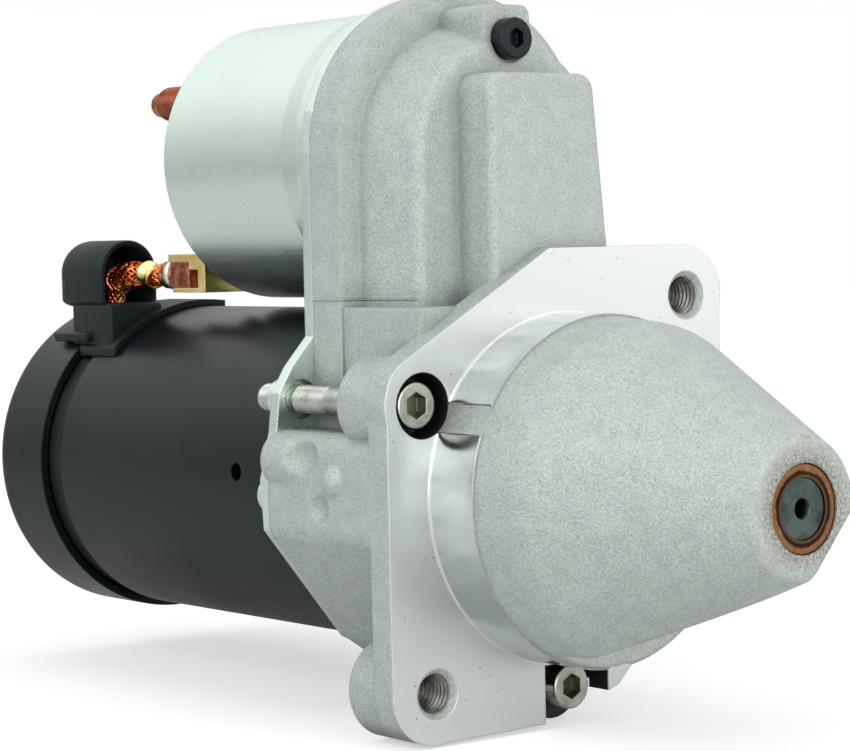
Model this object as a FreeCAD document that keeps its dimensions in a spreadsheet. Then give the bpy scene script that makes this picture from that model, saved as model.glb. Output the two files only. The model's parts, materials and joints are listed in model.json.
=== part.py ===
"""Starter motor with a planetary gear train, a closed nose and a solenoid on top.

Frame: +X along the output shaft towards the nose, +Z up, origin on the shaft axis at the
front face of the mounting flange. Every length is in millimetres and every angle in degrees.
"""
import FreeCAD
import Part
import Sketcher
import math
import os
from FreeCAD import Placement, Rotation, Vector

DOC = FreeCAD.newDocument("StarterMotor")
SHEET = DOC.addObject("Spreadsheet::Sheet", "Sizes")
PIECES = []

# Driving dimensions: name, value, what it is
SIZES = [
    ("nose_tip", 70.7, "nose face, in front of the flange face"),
    ("tip_radius", 14.2, "cone radius at the nose face"),
    ("tip_round", 2.2, "rounding of the nose face"),
    ("dome_shoulder", 25.9, "where the drafted wall turns into the cone"),
    ("shoulder_drop", 1.6, "draft of the wall from the register to that turn"),
    ("shoulder_round", 12.0, "rounding of that turn"),
    ("register_radius", 38.0, "machined register that centres the motor"),
    ("register_depth", 14.0, "length of the register"),
    ("cast_step", 0.7, "step from machined register to cast wall"),
    ("nose_wall", 4.8, "wall of the nose"),
    ("flange_plate", 6.5, "thickness of the mounting flange"),
    ("flange_depth", 16.5, "depth of its lugs"),
    ("flange_top", 52.0, "upper edge of the flange"),
    ("flange_bottom", 51.3, "lower edge of the flange, below the axis"),
    ("flange_left", 48.6, "left edge of the flange"),
    ("flange_right", 47.2, "right edge of the flange"),
    ("mount_y", 36.8, "mounting hole, beside the axis"),
    ("mount_z", 40.6, "mounting hole, above or below the axis"),
    ("mount_radius", 4.25, "minor radius of the M10 thread"),
    ("mount_sink", 5.5, "countersink radius of the mounting holes"),
    ("corner_lug", 10.8, "corner radius round a mounting hole"),
    ("bolt_circle", 43.9, "radius of the flange bolt pattern"),
    ("bolt_first", 153.0, "angle of the first flange bolt"),
    ("bolt_radius", 3.0, "flange bolt shank"),
    ("bolt_head", 5.0, "flange bolt head radius"),
    ("bolt_head_depth", 6.0, "flange bolt head height"),
    ("bolt_head_face", 2.0, "head face, behind the flange face"),
    ("bolt_end", 55.5, "end of the flange bolts, behind the flange face"),
    ("hex_flat", 2.5, "half width of the hexagon socket"),
    ("counterbore", 7.0, "counterbore radius round the bolt heads"),
    ("lug_radius", 10.0, "cast lug round the first bolt"),
    ("notch_depth", 8.5, "depth of the notch in front of the lower bolt"),
    ("notch_half", 9.0, "half width of that notch"),
    ("fit", 0.05, "radial running clearance"),
    ("gap", 0.3, "clearance between parts that don't touch"),
    ("plate_front", 43.0, "front face of the intermediate plate, behind the flange face"),
    ("plate_thick", 3.0, "intermediate plate"),
    ("gasket", 0.6, "gasket between plate and yoke"),
    ("collar_height", 4.0, "drawn collar of the plate ears"),
    ("case_half", 34.9, "half width of the gear case between the bolts"),
    ("case_low", 48.6, "half width of the gear case below the bolts"),
    ("case_step", 13.5, "height where the case widens"),
    ("case_top", 40.0, "height where the gear case meets the bell"),
    ("sol_clear", 2.3, "clearance between solenoid can and yoke"),
    ("bell_radius", 35.5, "rim of the solenoid bell"),
    ("rim_depth", 10.7, "length of that rim"),
    ("bell_back", 30.4, "bell radius behind its draft"),
    ("bell_front", 26.2, "bell radius at its front face"),
    ("bell_drop", 1.8, "bell axis below the solenoid axis"),
    ("bell_face", 16.0, "front face of the bell, behind the flange face"),
    ("bell_round", 2.5, "rounding of the bell's front edge"),
    ("tower_face", 4.6, "front face of the fork tower, behind the flange face"),
    ("tower_left", 15.3, "left side of the fork tower"),
    ("tower_right", 20.2, "right side of the fork tower at its foot"),
    ("tower_lean", 5.8, "lean of that side"),
    ("fork_room", 11.5, "half width of the room for the fork"),
    ("tower_drop", 8.0, "top of the fork tower below the upper solenoid screw"),
    ("tower_round", 4.0, "rounding of the fork tower"),
    ("tower_wall", 2.0, "front wall of the fork tower"),
    ("boss_rise", 24.1, "upper solenoid screw above the solenoid axis"),
    ("boss_half", 6.6, "half width of the boss round that screw"),
    ("boss_over", 7.6, "boss above that screw"),
    ("boss_seat", 17.0, "seat of that screw, behind the flange face"),
    ("screw_radius", 2.5, "solenoid screw shank"),
    ("screw_head", 4.6, "solenoid screw head radius"),
    ("screw_head_depth", 3.5, "solenoid screw head height"),
    ("window_start", 16.0, "start of the pinion window"),
    ("window_offset", 9.2, "window plane from the axis"),
    ("window_angle", -41.5, "direction in which the window opens"),
    ("window_tilt", 1.7, "draft of the window plane"),
    ("ring_bore", 29.2, "bore of the gear case for the ring gear"),
    ("web_front", 25.2, "front face of the ring gear's web, behind the flange face"),
    ("web_thick", 3.0, "web of the ring gear"),
    ("gear_module", 1.1, "module of the planetary set"),
    ("planet_width", 9.6, "width of the planet gears"),
    ("planet_pin", 2.6, "planet pin radius"),
    ("carrier_thick", 3.0, "planet carrier disc"),
    ("carrier_radius", 22.0, "planet carrier disc radius"),
    ("shaft_radius", 6.2, "output shaft in the nose"),
    ("spline_radius", 8.0, "output shaft under the guide sleeve"),
    ("shaft_end", 70.0, "front end of the output shaft"),
    ("bush_radius", 9.15, "nose bush, outside"),
    ("bush_length", 14.0, "nose bush length"),
    ("pinion_module", 2.54, "module of the pinion"),
    ("pinion_teeth_start", 12.0, "rear of the pinion teeth at rest"),
    ("pinion_width", 20.0, "length of the pinion teeth"),
    ("stroke", 16.0, "pinion travel"),
    ("race_radius", 12.0, "inner race of the clutch"),
    ("roller_radius", 3.5, "clutch rollers"),
    ("barrel_radius", 24.0, "clutch barrel"),
    ("barrel_back", 12.5, "rear of the barrel at rest, behind the flange face"),
    ("barrel_length", 21.0, "length of the barrel"),
    ("groove_back", 22.0, "rear of the fork groove at rest"),
    ("groove_width", 6.0, "width of the fork groove"),
    ("groove_bottom", 10.6, "radius of the bottom of the fork groove"),
    ("sleeve_radius", 14.0, "collars of the guide sleeve"),
    ("pivot_back", 14.0, "fork pivot behind the flange face"),
    ("pivot_height", 46.0, "fork pivot above the shaft axis"),
    ("pivot_radius", 3.0, "fork pivot pin"),
    ("fork_thick", 3.4, "thickness of the fork"),
    ("fork_lean", 6.25, "lean of the fork at rest"),
    ("fork_eye", 27.9, "upper arm of the fork"),
    ("shoe_radius", 2.7, "fork shoes"),
    ("plunger_radius", 12.0, "solenoid plunger"),
    ("plunger_stroke", 9.0, "solenoid travel"),
    ("plunger_front", 38.0, "front of the plunger body at rest"),
    ("plunger_back", 76.0, "rear of the plunger body at rest"),
    ("core_thick", 4.0, "fixed core plate"),
    ("slot_play", 2.4, "play of the fork in the hook"),
    ("plate_screw_y", 43.6, "plate screws beside the axis"),
    ("plate_screw_z", 1.0, "plate screws below the axis"),
    ("plate_screw_radius", 1.7, "plate screw shank"),
    ("plate_screw_head", 4.5, "plate screw head radius"),
    ("contact_travel", 2.6, "travel of the contact bridge"),
    ("bridge_back", 98.0, "rear of the contact bridge at rest"),
    ("hook_radius", 5.0, "plunger rod and hook"),
    ("hook_front", 7.0, "front of the hook at rest, behind the flange face"),
    ("can_radius", 33.1, "solenoid can"),
    ("can_wall", 2.5, "wall of the can"),
    ("can_back", 106.0, "rear edge of the can"),
    ("can_foot", 11.0, "drawn foot of the can"),
    ("cap_thick", 5.5, "cap outside the can"),
    ("cap_radius", 28.0, "cap outside the can, radius"),
    ("stud_radius", 4.0, "battery stud"),
    ("stud_end", 125.4, "end of the battery stud's thread"),
    ("pilot_length", 4.3, "pilot tip of the battery stud"),
    ("pilot_radius", 3.0, "pilot tip radius"),
    ("stud_seat", 5.0, "radius of the studs inside the cap"),
    ("stud_y", -17.8, "battery stud beside the axis"),
    ("stud_z", 88.9, "battery stud above the shaft axis"),
    ("trigger_y", 4.0, "trigger tab beside the axis"),
    ("trigger_rise", 8.0, "trigger tab above the solenoid axis"),
    ("terminal_y", -10.5, "motor terminal beside the axis"),
    ("terminal_z", 52.5, "motor terminal above the shaft axis"),
    ("yoke_radius", 38.5, "motor yoke"),
    ("yoke_wall", 3.0, "wall of the yoke"),
    ("yoke_hole", 2.1, "radius of the hole in the yoke"),
    ("yoke_hole_back", 70.2, "place of that hole"),
    ("yoke_hole_height", 2.3, "height of that hole"),
    ("seal_radius", 37.5, "ring groove between yoke and cover"),
    ("seal_length", 7.0, "length of that groove"),
    ("cover_radius", 39.9, "rear cover"),
    ("cover_length", 23.0, "length of the rear cover"),
    ("cover_wall", 2.0, "wall of the rear cover"),
    ("cover_round", 4.5, "rounding of the rear cover"),
    ("magnet_thick", 6.0, "magnets"),
    ("magnet_arc", 66.0, "angle of one magnet"),
    ("core_radius", 28.6, "armature core"),
    ("core_front", 72.0, "front of the armature core"),
    ("core_length", 50.0, "length of the armature core"),
    ("motor_shaft", 5.0, "armature shaft"),
    ("commutator_radius", 15.0, "commutator"),
    ("winding_length", 9.0, "room for the windings between core and commutator"),
    ("commutator_length", 17.0, "length of the commutator"),
    ("brush_width", 6.0, "brush, across"),
    ("brush_length", 12.0, "brush, radial and axial"),
    ("tie_circle", 32.4, "circle of the tie bolts"),
    ("tie_radius", 2.4, "tie bolts"),
    ("hood_radius", 8.3, "lead hood, outside"),
    ("hood_wall", 1.3, "wall of the lead hood"),
    ("hood_length", 22.5, "length of the lead hood"),
    ("hood_reach", 4.5, "hood opening in front of the yoke's rear end"),
    ("hood_skirt", 8.6, "straight sides of the hood below its arch"),
    ("saddle_thick", 2.0, "saddle of the hood on the yoke"),
    ("saddle_reach", 15.0, "saddle in front of the hood"),
    ("saddle_half", 10.5, "half width of the saddle"),
    ("hood_y", -19.5, "hood beside the axis"),
    ("hood_z", 47.4, "hood above the shaft axis"),
    ("lead_radius", 3.2, "braided motor lead"),
    ("lead_y", -14.8, "end of the lead beside the axis"),
    ("lead_z", 46.8, "end of the lead above the shaft axis"),
    ("lead_yaw", 9.0, "direction of the lead, to the side"),
    ("lead_bend", 10.0, "bend radius of the lead in the hood"),
    ("lead_drop", 5.0, "lead from the bend into the motor"),
    ("lead_straight", 15.0, "lead from its end to the bend"),
    ("band_place", 8.0, "crimp band behind the lead's end"),
    ("band_length", 6.8, "crimp band on the lead"),
    ("block_length", 8.2, "welded end of the lead"),
    ("clip_reach", 15.2, "end of the lead behind the cap"),
    ("clip_strip", 1.9, "thickness of the brass clip"),
]


class Size:
    """A number that carries the sheet expression it comes from."""

    def __init__(self, value, text):
        self.value = float(value)
        self.text = text

    def _join(self, sign, other, value, swap=False):
        left, right = (text(other), self.text) if swap else (self.text, text(other))
        return Size(value, "(%s %s %s)" % (left, sign, right))

    def __add__(self, other):
        return self._join("+", other, self.value + number(other))

    def __radd__(self, other):
        return self._join("+", other, number(other) + self.value, True)

    def __sub__(self, other):
        return self._join("-", other, self.value - number(other))

    def __rsub__(self, other):
        return self._join("-", other, number(other) - self.value, True)

    def __mul__(self, other):
        return self._join("*", other, self.value * number(other))

    def __rmul__(self, other):
        return self._join("*", other, number(other) * self.value, True)

    def __truediv__(self, other):
        return self._join("/", other, self.value / number(other))

    def __neg__(self):
        return Size(-self.value, "(0 - %s)" % self.text)


def number(size):
    return size.value if isinstance(size, Size) else float(size)


def text(size):
    return size.text if isinstance(size, Size) else "(%.9g)" % size


def cos(angle):
    return Size(math.cos(math.radians(number(angle))), "cos(%s * 1 deg)" % text(angle))


def sin(angle):
    return Size(math.sin(math.radians(number(angle))), "sin(%s * 1 deg)" % text(angle))


class Table:
    """Reads a driving dimension from the sheet by its name."""

    def __init__(self, rows):
        for row, (name, value, note) in enumerate(rows, 1):
            SHEET.set("A%d" % row, name)
            SHEET.set("B%d" % row, str(value))
            SHEET.set("C%d" % row, note)
            SHEET.setAlias("B%d" % row, name)
        DOC.recompute()
        for name, _, _ in rows:
            setattr(self, name, Size(SHEET.get(name), "Sizes." + name))


size = Table(SIZES)

SUN_TEETH = 11
PLANET_TEETH = 16
RING_TEETH = 43
PLANETS = 3
PINION_TEETH = 10
ALONG_X = Rotation(Vector(0, 1, 0), 90)
BOLT_ANGLES = [size.bolt_first, size.bolt_first + 120, size.bolt_first - 120]
SCREW_PLACES = [(90, size.boss_seat), (-20, size.boss_seat + 7)]
TIE_ANGLES = [135, -45]


def bind(thing, prop, value):
    if isinstance(value, Size):
        thing.setExpression(prop, value.text)
    elif "." not in prop and "[" not in prop:
        setattr(thing, prop, value)


def place(thing, x=0, y=0, z=0, turn=None):
    """Puts a solid at a point whose coordinates follow the sheet."""
    thing.Placement = Placement(Vector(number(x), number(y), number(z)), turn or Rotation())
    for axis, value in zip("xyz", (x, y, z)):
        bind(thing, "Placement.Base." + axis, value)
    return thing


def rod(start, end, radius, y=0, z=0):
    """A cylinder along X from one station to another."""
    solid = DOC.addObject("Part::Cylinder", "Rod")
    bind(solid, "Radius", radius)
    bind(solid, "Height", end - start)
    return place(solid, start, y, z, ALONG_X)


def cone(start, end, first, last, y=0, z=0):
    solid = DOC.addObject("Part::Cone", "Taper")
    bind(solid, "Radius1", first)
    bind(solid, "Radius2", last)
    bind(solid, "Height", end - start)
    return place(solid, start, y, z, ALONG_X)


def pin_across(half, radius, x, z, y=0):
    """A cylinder along Y, centred at y."""
    solid = DOC.addObject("Part::Cylinder", "Across")
    bind(solid, "Radius", radius)
    bind(solid, "Height", half * 2)
    return place(solid, x, y + half, z, Rotation(Vector(1, 0, 0), 90))


def box(x0, x1, y0, y1, z0, z1):
    solid = DOC.addObject("Part::Box", "Block")
    bind(solid, "Length", x1 - x0)
    bind(solid, "Width", y1 - y0)
    bind(solid, "Height", z1 - z0)
    return place(solid, x0, y0, z0)


def fuse(*solids):
    whole = DOC.addObject("Part::MultiFuse", "Joined")
    whole.Shapes = list(solids)
    whole.Refine = True
    return whole


def cut(base, *tools):
    result = DOC.addObject("Part::Cut", "Cut")
    result.Base = base
    result.Tool = tools[0] if len(tools) == 1 else fuse(*tools)
    return result


def common(first, second):
    result = DOC.addObject("Part::Common", "Kept")
    result.Base = first
    result.Tool = second
    return result


def group(*solids):
    whole = DOC.addObject("Part::Compound", "Group")
    whole.Links = list(solids)
    return whole


def tube(start, end, outer, inner, y=0, z=0):
    return cut(rod(start, end, outer, y, z), rod(start - 1, end + 1, inner, y, z))


def piece(label, solid):
    solid.Label = label
    PIECES.append(solid)
    return solid


def on_circle(radius, angle):
    return radius * cos(angle), radius * sin(angle)


def hexagon(start, end, flat, y, z):
    """A hexagonal prism along X, given by half its width across flats."""
    prism = DOC.addObject("Part::Prism", "Hexagon")
    prism.Polygon = 6
    bind(prism, "Circumradius", flat / math.cos(math.pi / 6))
    bind(prism, "Height", end - start)
    return place(prism, start, y, z, ALONG_X)


def sketch(body, role, points, offset=0):
    """A closed outline whose every point is dimensioned from the sketch origin."""
    outline = body.newObject("Sketcher::SketchObject", "Outline")
    plane = [o for o in body.Origin.OriginFeatures if o.Role == role][0]
    outline.AttachmentSupport = (plane, [""])
    outline.MapMode = "FlatFace"
    bind(outline, "AttachmentOffset.Base.z", offset)
    count = len(points)
    spots = [Vector(number(a), number(b), 0) for a, b in points]
    for i, spot in enumerate(spots):
        outline.addGeometry(Part.LineSegment(spot, spots[(i + 1) % count]), False)
    for i in range(count):
        outline.addConstraint(Sketcher.Constraint("Coincident", i, 2, (i + 1) % count, 1))
    for i, point in enumerate(points):
        for kind, value in zip(("DistanceX", "DistanceY"), point):
            index = outline.addConstraint(Sketcher.Constraint(kind, -1, 1, i, 1, number(value)))
            bind(outline, "Constraints[%d]" % index, value)
    return outline


def pad(points, start, end, rounds=(), label="Padded"):
    """Extrudes a Y-Z outline from one X station to another and rounds the named corners."""
    body = DOC.addObject("PartDesign::Body", label)
    outline = sketch(body, "YZ_Plane", points, start)
    block = body.newObject("PartDesign::Pad", "Pad")
    block.Profile = outline
    bind(block, "Length", end - start)
    DOC.recompute()
    for corner, radius in rounds:
        y, z = (number(value) for value in corner)
        names = []
        for i, edge in enumerate(block.Shape.Edges, 1):
            ends = [v.Point for v in edge.Vertexes]
            if len(ends) == 2 and all(math.hypot(p.y - y, p.z - z) < 0.01 for p in ends):
                names.append("Edge%d" % i)
        fillet = body.newObject("PartDesign::Fillet", "Corner")
        fillet.Base = (block, names)
        bind(fillet, "Radius", radius)
        DOC.recompute()
        block = fillet
    return body


def turned(points, label="Turned"):
    """A solid of revolution about X from its (x, radius) outline."""
    body = DOC.addObject("PartDesign::Body", label)
    outline = sketch(body, "XZ_Plane", points)
    solid = body.newObject("PartDesign::Revolution", "Revolution")
    solid.Profile = outline
    solid.ReferenceAxis = (outline, ["H_Axis"])
    solid.Angle = 360
    return body


def rounded(solid, radius, wanted):
    """Rounds the edges that the test picks."""
    DOC.recompute()
    result = DOC.addObject("Part::Fillet", "Rounded")
    result.Base = solid
    keys = [i for i, edge in enumerate(solid.Shape.Edges, 1) if wanted(edge)]
    result.Edges = [(key, number(radius), number(radius)) for key in keys]
    return result


def at_station(x, near=0.01):
    """Picks the edges that lie in one X plane."""
    def wanted(edge):
        return edge.BoundBox.XLength < near and abs(edge.BoundBox.XMin - number(x)) < near
    return wanted


def above(x, height):
    """Picks the edges of one X plane that reach above a height."""
    def wanted(edge):
        return at_station(x)(edge) and edge.BoundBox.ZMax > number(height)
    return wanted


def involute_points(teeth, module, addendum, dedendum, slack, internal=False):
    """One tooth of a gear as (radius, half angle) pairs from root to tip."""
    pitch = teeth * module / 2
    base = pitch * math.cos(math.radians(25))
    start = max(base, pitch - dedendum * module)
    end = pitch + addendum * module
    if internal:
        start, end = max(base, pitch - addendum * module), pitch + dedendum * module
    at_pitch = math.sqrt((pitch / base) ** 2 - 1)
    pitch_angle = at_pitch - math.atan(at_pitch)
    half = math.pi / 2 / teeth - slack / 2 / pitch
    if internal:
        half = math.pi / 2 / teeth + slack / 2 / pitch
    flank = []
    for i in range(4):
        radius = start + (end - start) * i / 3
        t = math.sqrt(max((radius / base) ** 2 - 1, 0))
        flank.append((radius, half - (t - math.atan(t)) + pitch_angle))
    if pitch - dedendum * module < start and not internal:
        flank.insert(0, (pitch - dedendum * module, flank[0][1]))
    return flank


def gear_wire(teeth, module, addendum, dedendum, slack, phase, internal=False):
    """The whole outline of a gear in the Y-Z plane, tooth centred on the phase angle."""
    flank = involute_points(teeth, module, addendum, dedendum, slack, internal)
    points = []
    for tooth in range(teeth):
        middle = math.radians(phase) + 2 * math.pi * tooth / teeth
        for radius, half in flank:
            points.append((radius, middle - half))
        for radius, half in reversed(flank):
            points.append((radius, middle + half))
    spots = [Vector(0, r * math.cos(a), r * math.sin(a)) for r, a in points]
    return Part.makePolygon(spots + spots[:1])


def gear(label, teeth, module, start, end, slack, phase=0, y=0, z=0, internal=False, shape=(0.9, 1.15)):
    """A spur gear blank along X, or the toothed hole of a ring gear."""
    wire = gear_wire(teeth, number(module), shape[0], shape[1], slack, phase, internal)
    solid = DOC.addObject("Part::Feature", label)
    solid.Shape = Part.Face(wire).extrude(Vector(number(end) - number(start), 0, 0))
    return place(solid, start, y, z)


# Stations and radii that several parts share
sol_height = size.yoke_radius + size.can_radius + size.sol_clear
boss_height = sol_height + size.boss_rise
tower_top = boss_height - size.tower_drop
shoulder_radius = size.register_radius - size.shoulder_drop
plate_back = -(size.plate_front + size.plate_thick)
yoke_start = plate_back - size.gasket
centre_distance = size.gear_module * (SUN_TEETH + PLANET_TEETH) / 2
carrier_back = -size.web_front - size.web_thick - size.gap * 2 - size.carrier_thick
planet_front = carrier_back - size.gap
planet_back = planet_front - size.planet_width
pinion_end = size.pinion_teeth_start + size.pinion_width
barrel_front = size.barrel_length - size.barrel_back
pinion_back = 4 + size.gap - size.barrel_back
cavity_radius = size.register_radius - size.nose_wall
stop_start = pinion_end + size.stroke + size.gap
bush_start = size.nose_tip - size.bush_length
core_back = -size.core_front - size.core_length
commutator_front = core_back - size.winding_length
commutator_back = commutator_front - size.commutator_length
yoke_end = commutator_back
cover_front = yoke_end - size.seal_length
motor_back = cover_front - size.cover_length
magnet_radius = size.yoke_radius - size.yoke_wall
fixed_core_front = -size.plunger_back - size.plunger_stroke - size.gap - 3
fixed_core_back = fixed_core_front - size.core_thick
hook_slot = size.hook_front + 1.6


def nose_solid():
    """Register and closed dome, turned about the shaft axis."""
    wall = size.register_radius - size.cast_step
    return turned([
        (-size.gap * 10, 0), (size.nose_tip, 0), (size.nose_tip, size.tip_radius),
        (size.dome_shoulder, shoulder_radius), (size.register_depth, wall),
        (size.register_depth, size.register_radius), (-size.gap * 10, size.register_radius),
    ], "Nose")


def smooth_nose():
    """The dome with its shoulder and its nose edge rounded."""
    nose = nose_solid()
    shoulder = rounded(nose, size.shoulder_round, at_station(size.dome_shoulder))
    return rounded(shoulder, size.tip_round, at_station(size.nose_tip))


def flange_solid():
    corner = (-size.flange_left, -size.flange_bottom)
    upper = (size.flange_right, size.flange_top)
    left = (-size.flange_left, size.flange_top - 25.3)
    lower = (size.notch_half + 5.4, -size.flange_bottom + 6.8)
    side = (size.flange_right, -size.flange_bottom + 39)
    outline = [
        corner, (size.notch_half - 4, -size.flange_bottom + 0.8),
        (size.notch_half + 1.6, -size.flange_bottom + 5.5), lower, side, upper,
        (-3.5, size.flange_top), left,
    ]
    rounds = [(corner, size.corner_lug), (upper, size.corner_lug), (side, 12), (left, 8)]
    return pad(outline, -size.flange_plate, 0, rounds, "Flange")


def case_solid():
    """Gear case between the plate and the flange."""
    low = -size.case_low
    narrow = size.case_half
    outline = [
        (-narrow, size.case_step), (low, size.case_step), (low, -8.5), (-28.0, -34.2),
        (-14.0, -43.6), (14.0, -43.6), (28.0, -34.2), (size.case_low, -8.5),
        (size.case_low, size.case_step), (narrow, size.case_step),
        (narrow, size.case_top), (-narrow, size.case_top),
    ]
    rounds = [((low, size.case_step), 4.5), ((low, -8.5), 5)]
    return pad(outline, -size.plate_front, -size.flange_plate + 1, rounds, "Case")


def ball(x, y, z, radius):
    solid = DOC.addObject("Part::Sphere", "Ball")
    bind(solid, "Radius", radius)
    return place(solid, x, y, z)


def case_bosses():
    """Round-ended boss by the plate and a small one near the flange, on the left of the case."""
    side = -size.case_low
    end = -size.plate_front + 7
    large = rod(-size.plate_front, end, 6.5, side + 4.6, 7)
    return [large, ball(end, side + 4.6, 7, 6.5), ball(-19.5, side + 2.2, 3.7, 4.2)]


def case_hollows():
    """Cast hollows beside those bosses."""
    side = -size.case_low
    return [ball(-29, side - 4.2, 8.8, 6.2), ball(-24, side - 2.4, -2.3, 4.0), ball(-30.5, side - 2.4, -10, 3.6)]


def arch(start, end, radius, bottom):
    """A round-topped block: a cylinder on the solenoid axis over a straight-sided box."""
    top = rod(start, end, radius, 0, sol_height)
    sides = box(start, end, -radius, radius, bottom, sol_height)
    return fuse(top, sides)


def tapered_arch(start, end, back, front, bottom):
    """The same form with draft: a cone a little below that axis over a tapered block."""
    height = sol_height - size.bell_drop
    top = cone(start, end, back, front, 0, height)
    body = DOC.addObject("PartDesign::Body", "Skirt")
    plan = [(start, -back), (end, -front), (end, front), (start, back)]
    block = body.newObject("PartDesign::Pad", "Pad")
    block.Profile = sketch(body, "XY_Plane", plan, bottom)
    bind(block, "Length", height - bottom)
    return fuse(top, body)


def bell_solid():
    """Rim, drafted bell and screw boss for the solenoid."""
    rim_front = -size.plate_front + size.rim_depth
    rim = arch(-size.plate_front, rim_front, size.bell_radius, size.case_step)
    bell = tapered_arch(rim_front - 1, -size.bell_face, size.bell_back, size.bell_front, size.case_step)
    smooth = rounded(bell, size.bell_round, above(-size.bell_face, size.case_step + 1))
    half = size.boss_half
    top = boss_height + size.boss_over
    outline = [(-half, sol_height), (half, sol_height), (half, top), (-half, top)]
    rounds = [((half, top), 2.5), ((-half, top), 2.5)]
    boss = pad(outline, -size.plate_front, -size.boss_seat, rounds, "Boss")
    return [rim, smooth, boss]


def tower_solid():
    """Fork tower in front of the bell."""
    left = -size.tower_left
    foot = size.case_top - 10
    corner = size.tower_right - size.tower_lean
    outline = [(left, foot), (size.tower_right, foot), (corner, tower_top), (left, tower_top)]
    rounds = [((left, tower_top), size.tower_round), ((corner, tower_top), size.tower_round)]
    tower = pad(outline, -size.bell_face - 4, -size.tower_face, rounds, "Tower")
    return rounded(tower, 1.6, at_station(-size.tower_face))


def lug_solids():
    """Cast lugs that carry the flange bolts."""
    lugs = []
    for angle in BOLT_ANGLES:
        y, z = on_circle(size.bolt_circle, angle)
        radius = size.lug_radius if angle is not BOLT_ANGLES[1] else size.counterbore + 0.8
        lugs.append(rod(-size.flange_depth, 0, radius, y, z))
    for side in (-1, 1):
        lugs.append(rod(-size.flange_depth, 0, size.corner_lug, size.mount_y * side, size.mount_z * side))
    return lugs


def window_cutter():
    """Slices the far side of the nose off on a slightly drafted plane."""
    cutter = DOC.addObject("Part::Box", "Window")
    reach = size.register_radius * 2
    bind(cutter, "Length", size.nose_tip)
    bind(cutter, "Width", reach)
    bind(cutter, "Height", reach)
    turn = Rotation(Vector(1, 0, 0), number(size.window_angle)).multiply(
        Rotation(Vector(0, 0, 1), number(size.window_tilt)))
    corner = turn.multVec(Vector(0, 0, -number(size.register_radius)))
    y = size.window_offset * cos(size.window_angle) + corner.y
    z = size.window_offset * sin(size.window_angle) + corner.z
    return place(cutter, size.window_start, y, z, turn)


def housing_cavity():
    """Room for the clutch and pinion, turned with a wall of even thickness."""
    mouth = -size.web_front + size.gap
    inner = shoulder_radius - size.nose_wall
    return turned([
        (mouth, 0), (bush_start, 0), (bush_start, size.tip_radius + 2.5),
        (size.dome_shoulder, inner), (mouth, cavity_radius),
    ], "Cavity")


def fork_cavity():
    """Slot in which the fork and the plunger hook move."""
    half = size.fork_room
    front = -size.tower_face - size.tower_wall
    slot = box(-size.bell_face - 7, front, -half, half, 24, sol_height + 8)
    bell = rod(-size.plate_front - 1, -size.bell_face - 5, size.plunger_radius + 6, 0, sol_height)
    mouth = rod(-size.bell_face - 6, -size.bell_face + 1, size.hook_radius + 3, 0, sol_height)
    pin = pin_across(size.tower_left - 1.5, size.pivot_radius, -size.pivot_back, size.pivot_height)
    return [slot, bell, mouth, pin]


def bolt_cutters():
    """Counterbores, bolt holes and the tool channels in front of the bolt heads."""
    cutters = []
    floor = -size.bolt_head_face - size.bolt_head_depth
    for angle in BOLT_ANGLES:
        y, z = on_circle(size.bolt_circle, angle)
        cutters.append(rod(floor, size.dome_shoulder, size.counterbore, y, z))
        cutters.append(rod(-size.plate_front - 1, floor + 1, size.bolt_radius + size.gap, y, z))
    return cutters


def notch_cutter():
    """Open notch in the lower edge of the flange, in front of the lower bolt."""
    y, _ = on_circle(size.bolt_circle, BOLT_ANGLES[1])
    bottom = -size.flange_bottom - 5
    return box(-size.notch_depth, size.gap, y - size.notch_half - 0.4, y + size.notch_half, bottom,
               -size.register_radius)


def mounting_cutters():
    cutters = []
    for side in (-1, 1):
        y, z = size.mount_y * side, size.mount_z * side
        cutters.append(rod(-size.flange_depth - 5, 1, size.mount_radius, y, z))
        sink = size.mount_sink - size.mount_radius
        cutters.append(cone(-sink, 0, size.mount_radius, size.mount_sink, y, z))
    return cutters


def solenoid_screw_place(angle):
    radius = boss_height - sol_height
    return radius * cos(angle), sol_height + radius * sin(angle)


def screw_cutters():
    cutters = []
    for angle, seat in SCREW_PLACES:
        y, z = solenoid_screw_place(angle)
        cutters.append(rod(-size.plate_front - 1, 0, size.screw_radius + size.gap, y, z))
        cutters.append(rod(-seat, 0, size.screw_head + size.gap * 2, y, z))
    for angle in TIE_ANGLES:
        y, z = on_circle(size.tie_circle, angle)
        cutters.append(rod(-size.plate_front - 1, -size.plate_front + 13, size.tie_radius, y, z))
    for side in (-1, 1):
        y = side * size.plate_screw_y
        cutters.append(rod(-size.plate_front - 1, -size.plate_front + 9, size.plate_screw_radius, y,
                           -size.plate_screw_z))
    return cutters


def drive_end_housing():
    outside = fuse(smooth_nose(), flange_solid(), case_solid(), *bell_solid(), tower_solid(), *lug_solids(),
                   *case_bosses())
    bush = rod(bush_start - 1, size.nose_tip + 1, size.bush_radius)
    ring = rod(-size.plate_front - 1, -size.web_front + size.gap * 2, size.ring_bore + size.gap)
    inside = [housing_cavity(), ring, bush, window_cutter(), notch_cutter()]
    inside += fork_cavity() + bolt_cutters() + mounting_cutters() + screw_cutters() + case_hollows()
    piece("drive_end_housing", cut(outside, *inside))
    inner = size.shaft_radius + size.fit
    piece("nose_bush", tube(bush_start, size.nose_tip - 0.4, size.bush_radius, inner))


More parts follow.
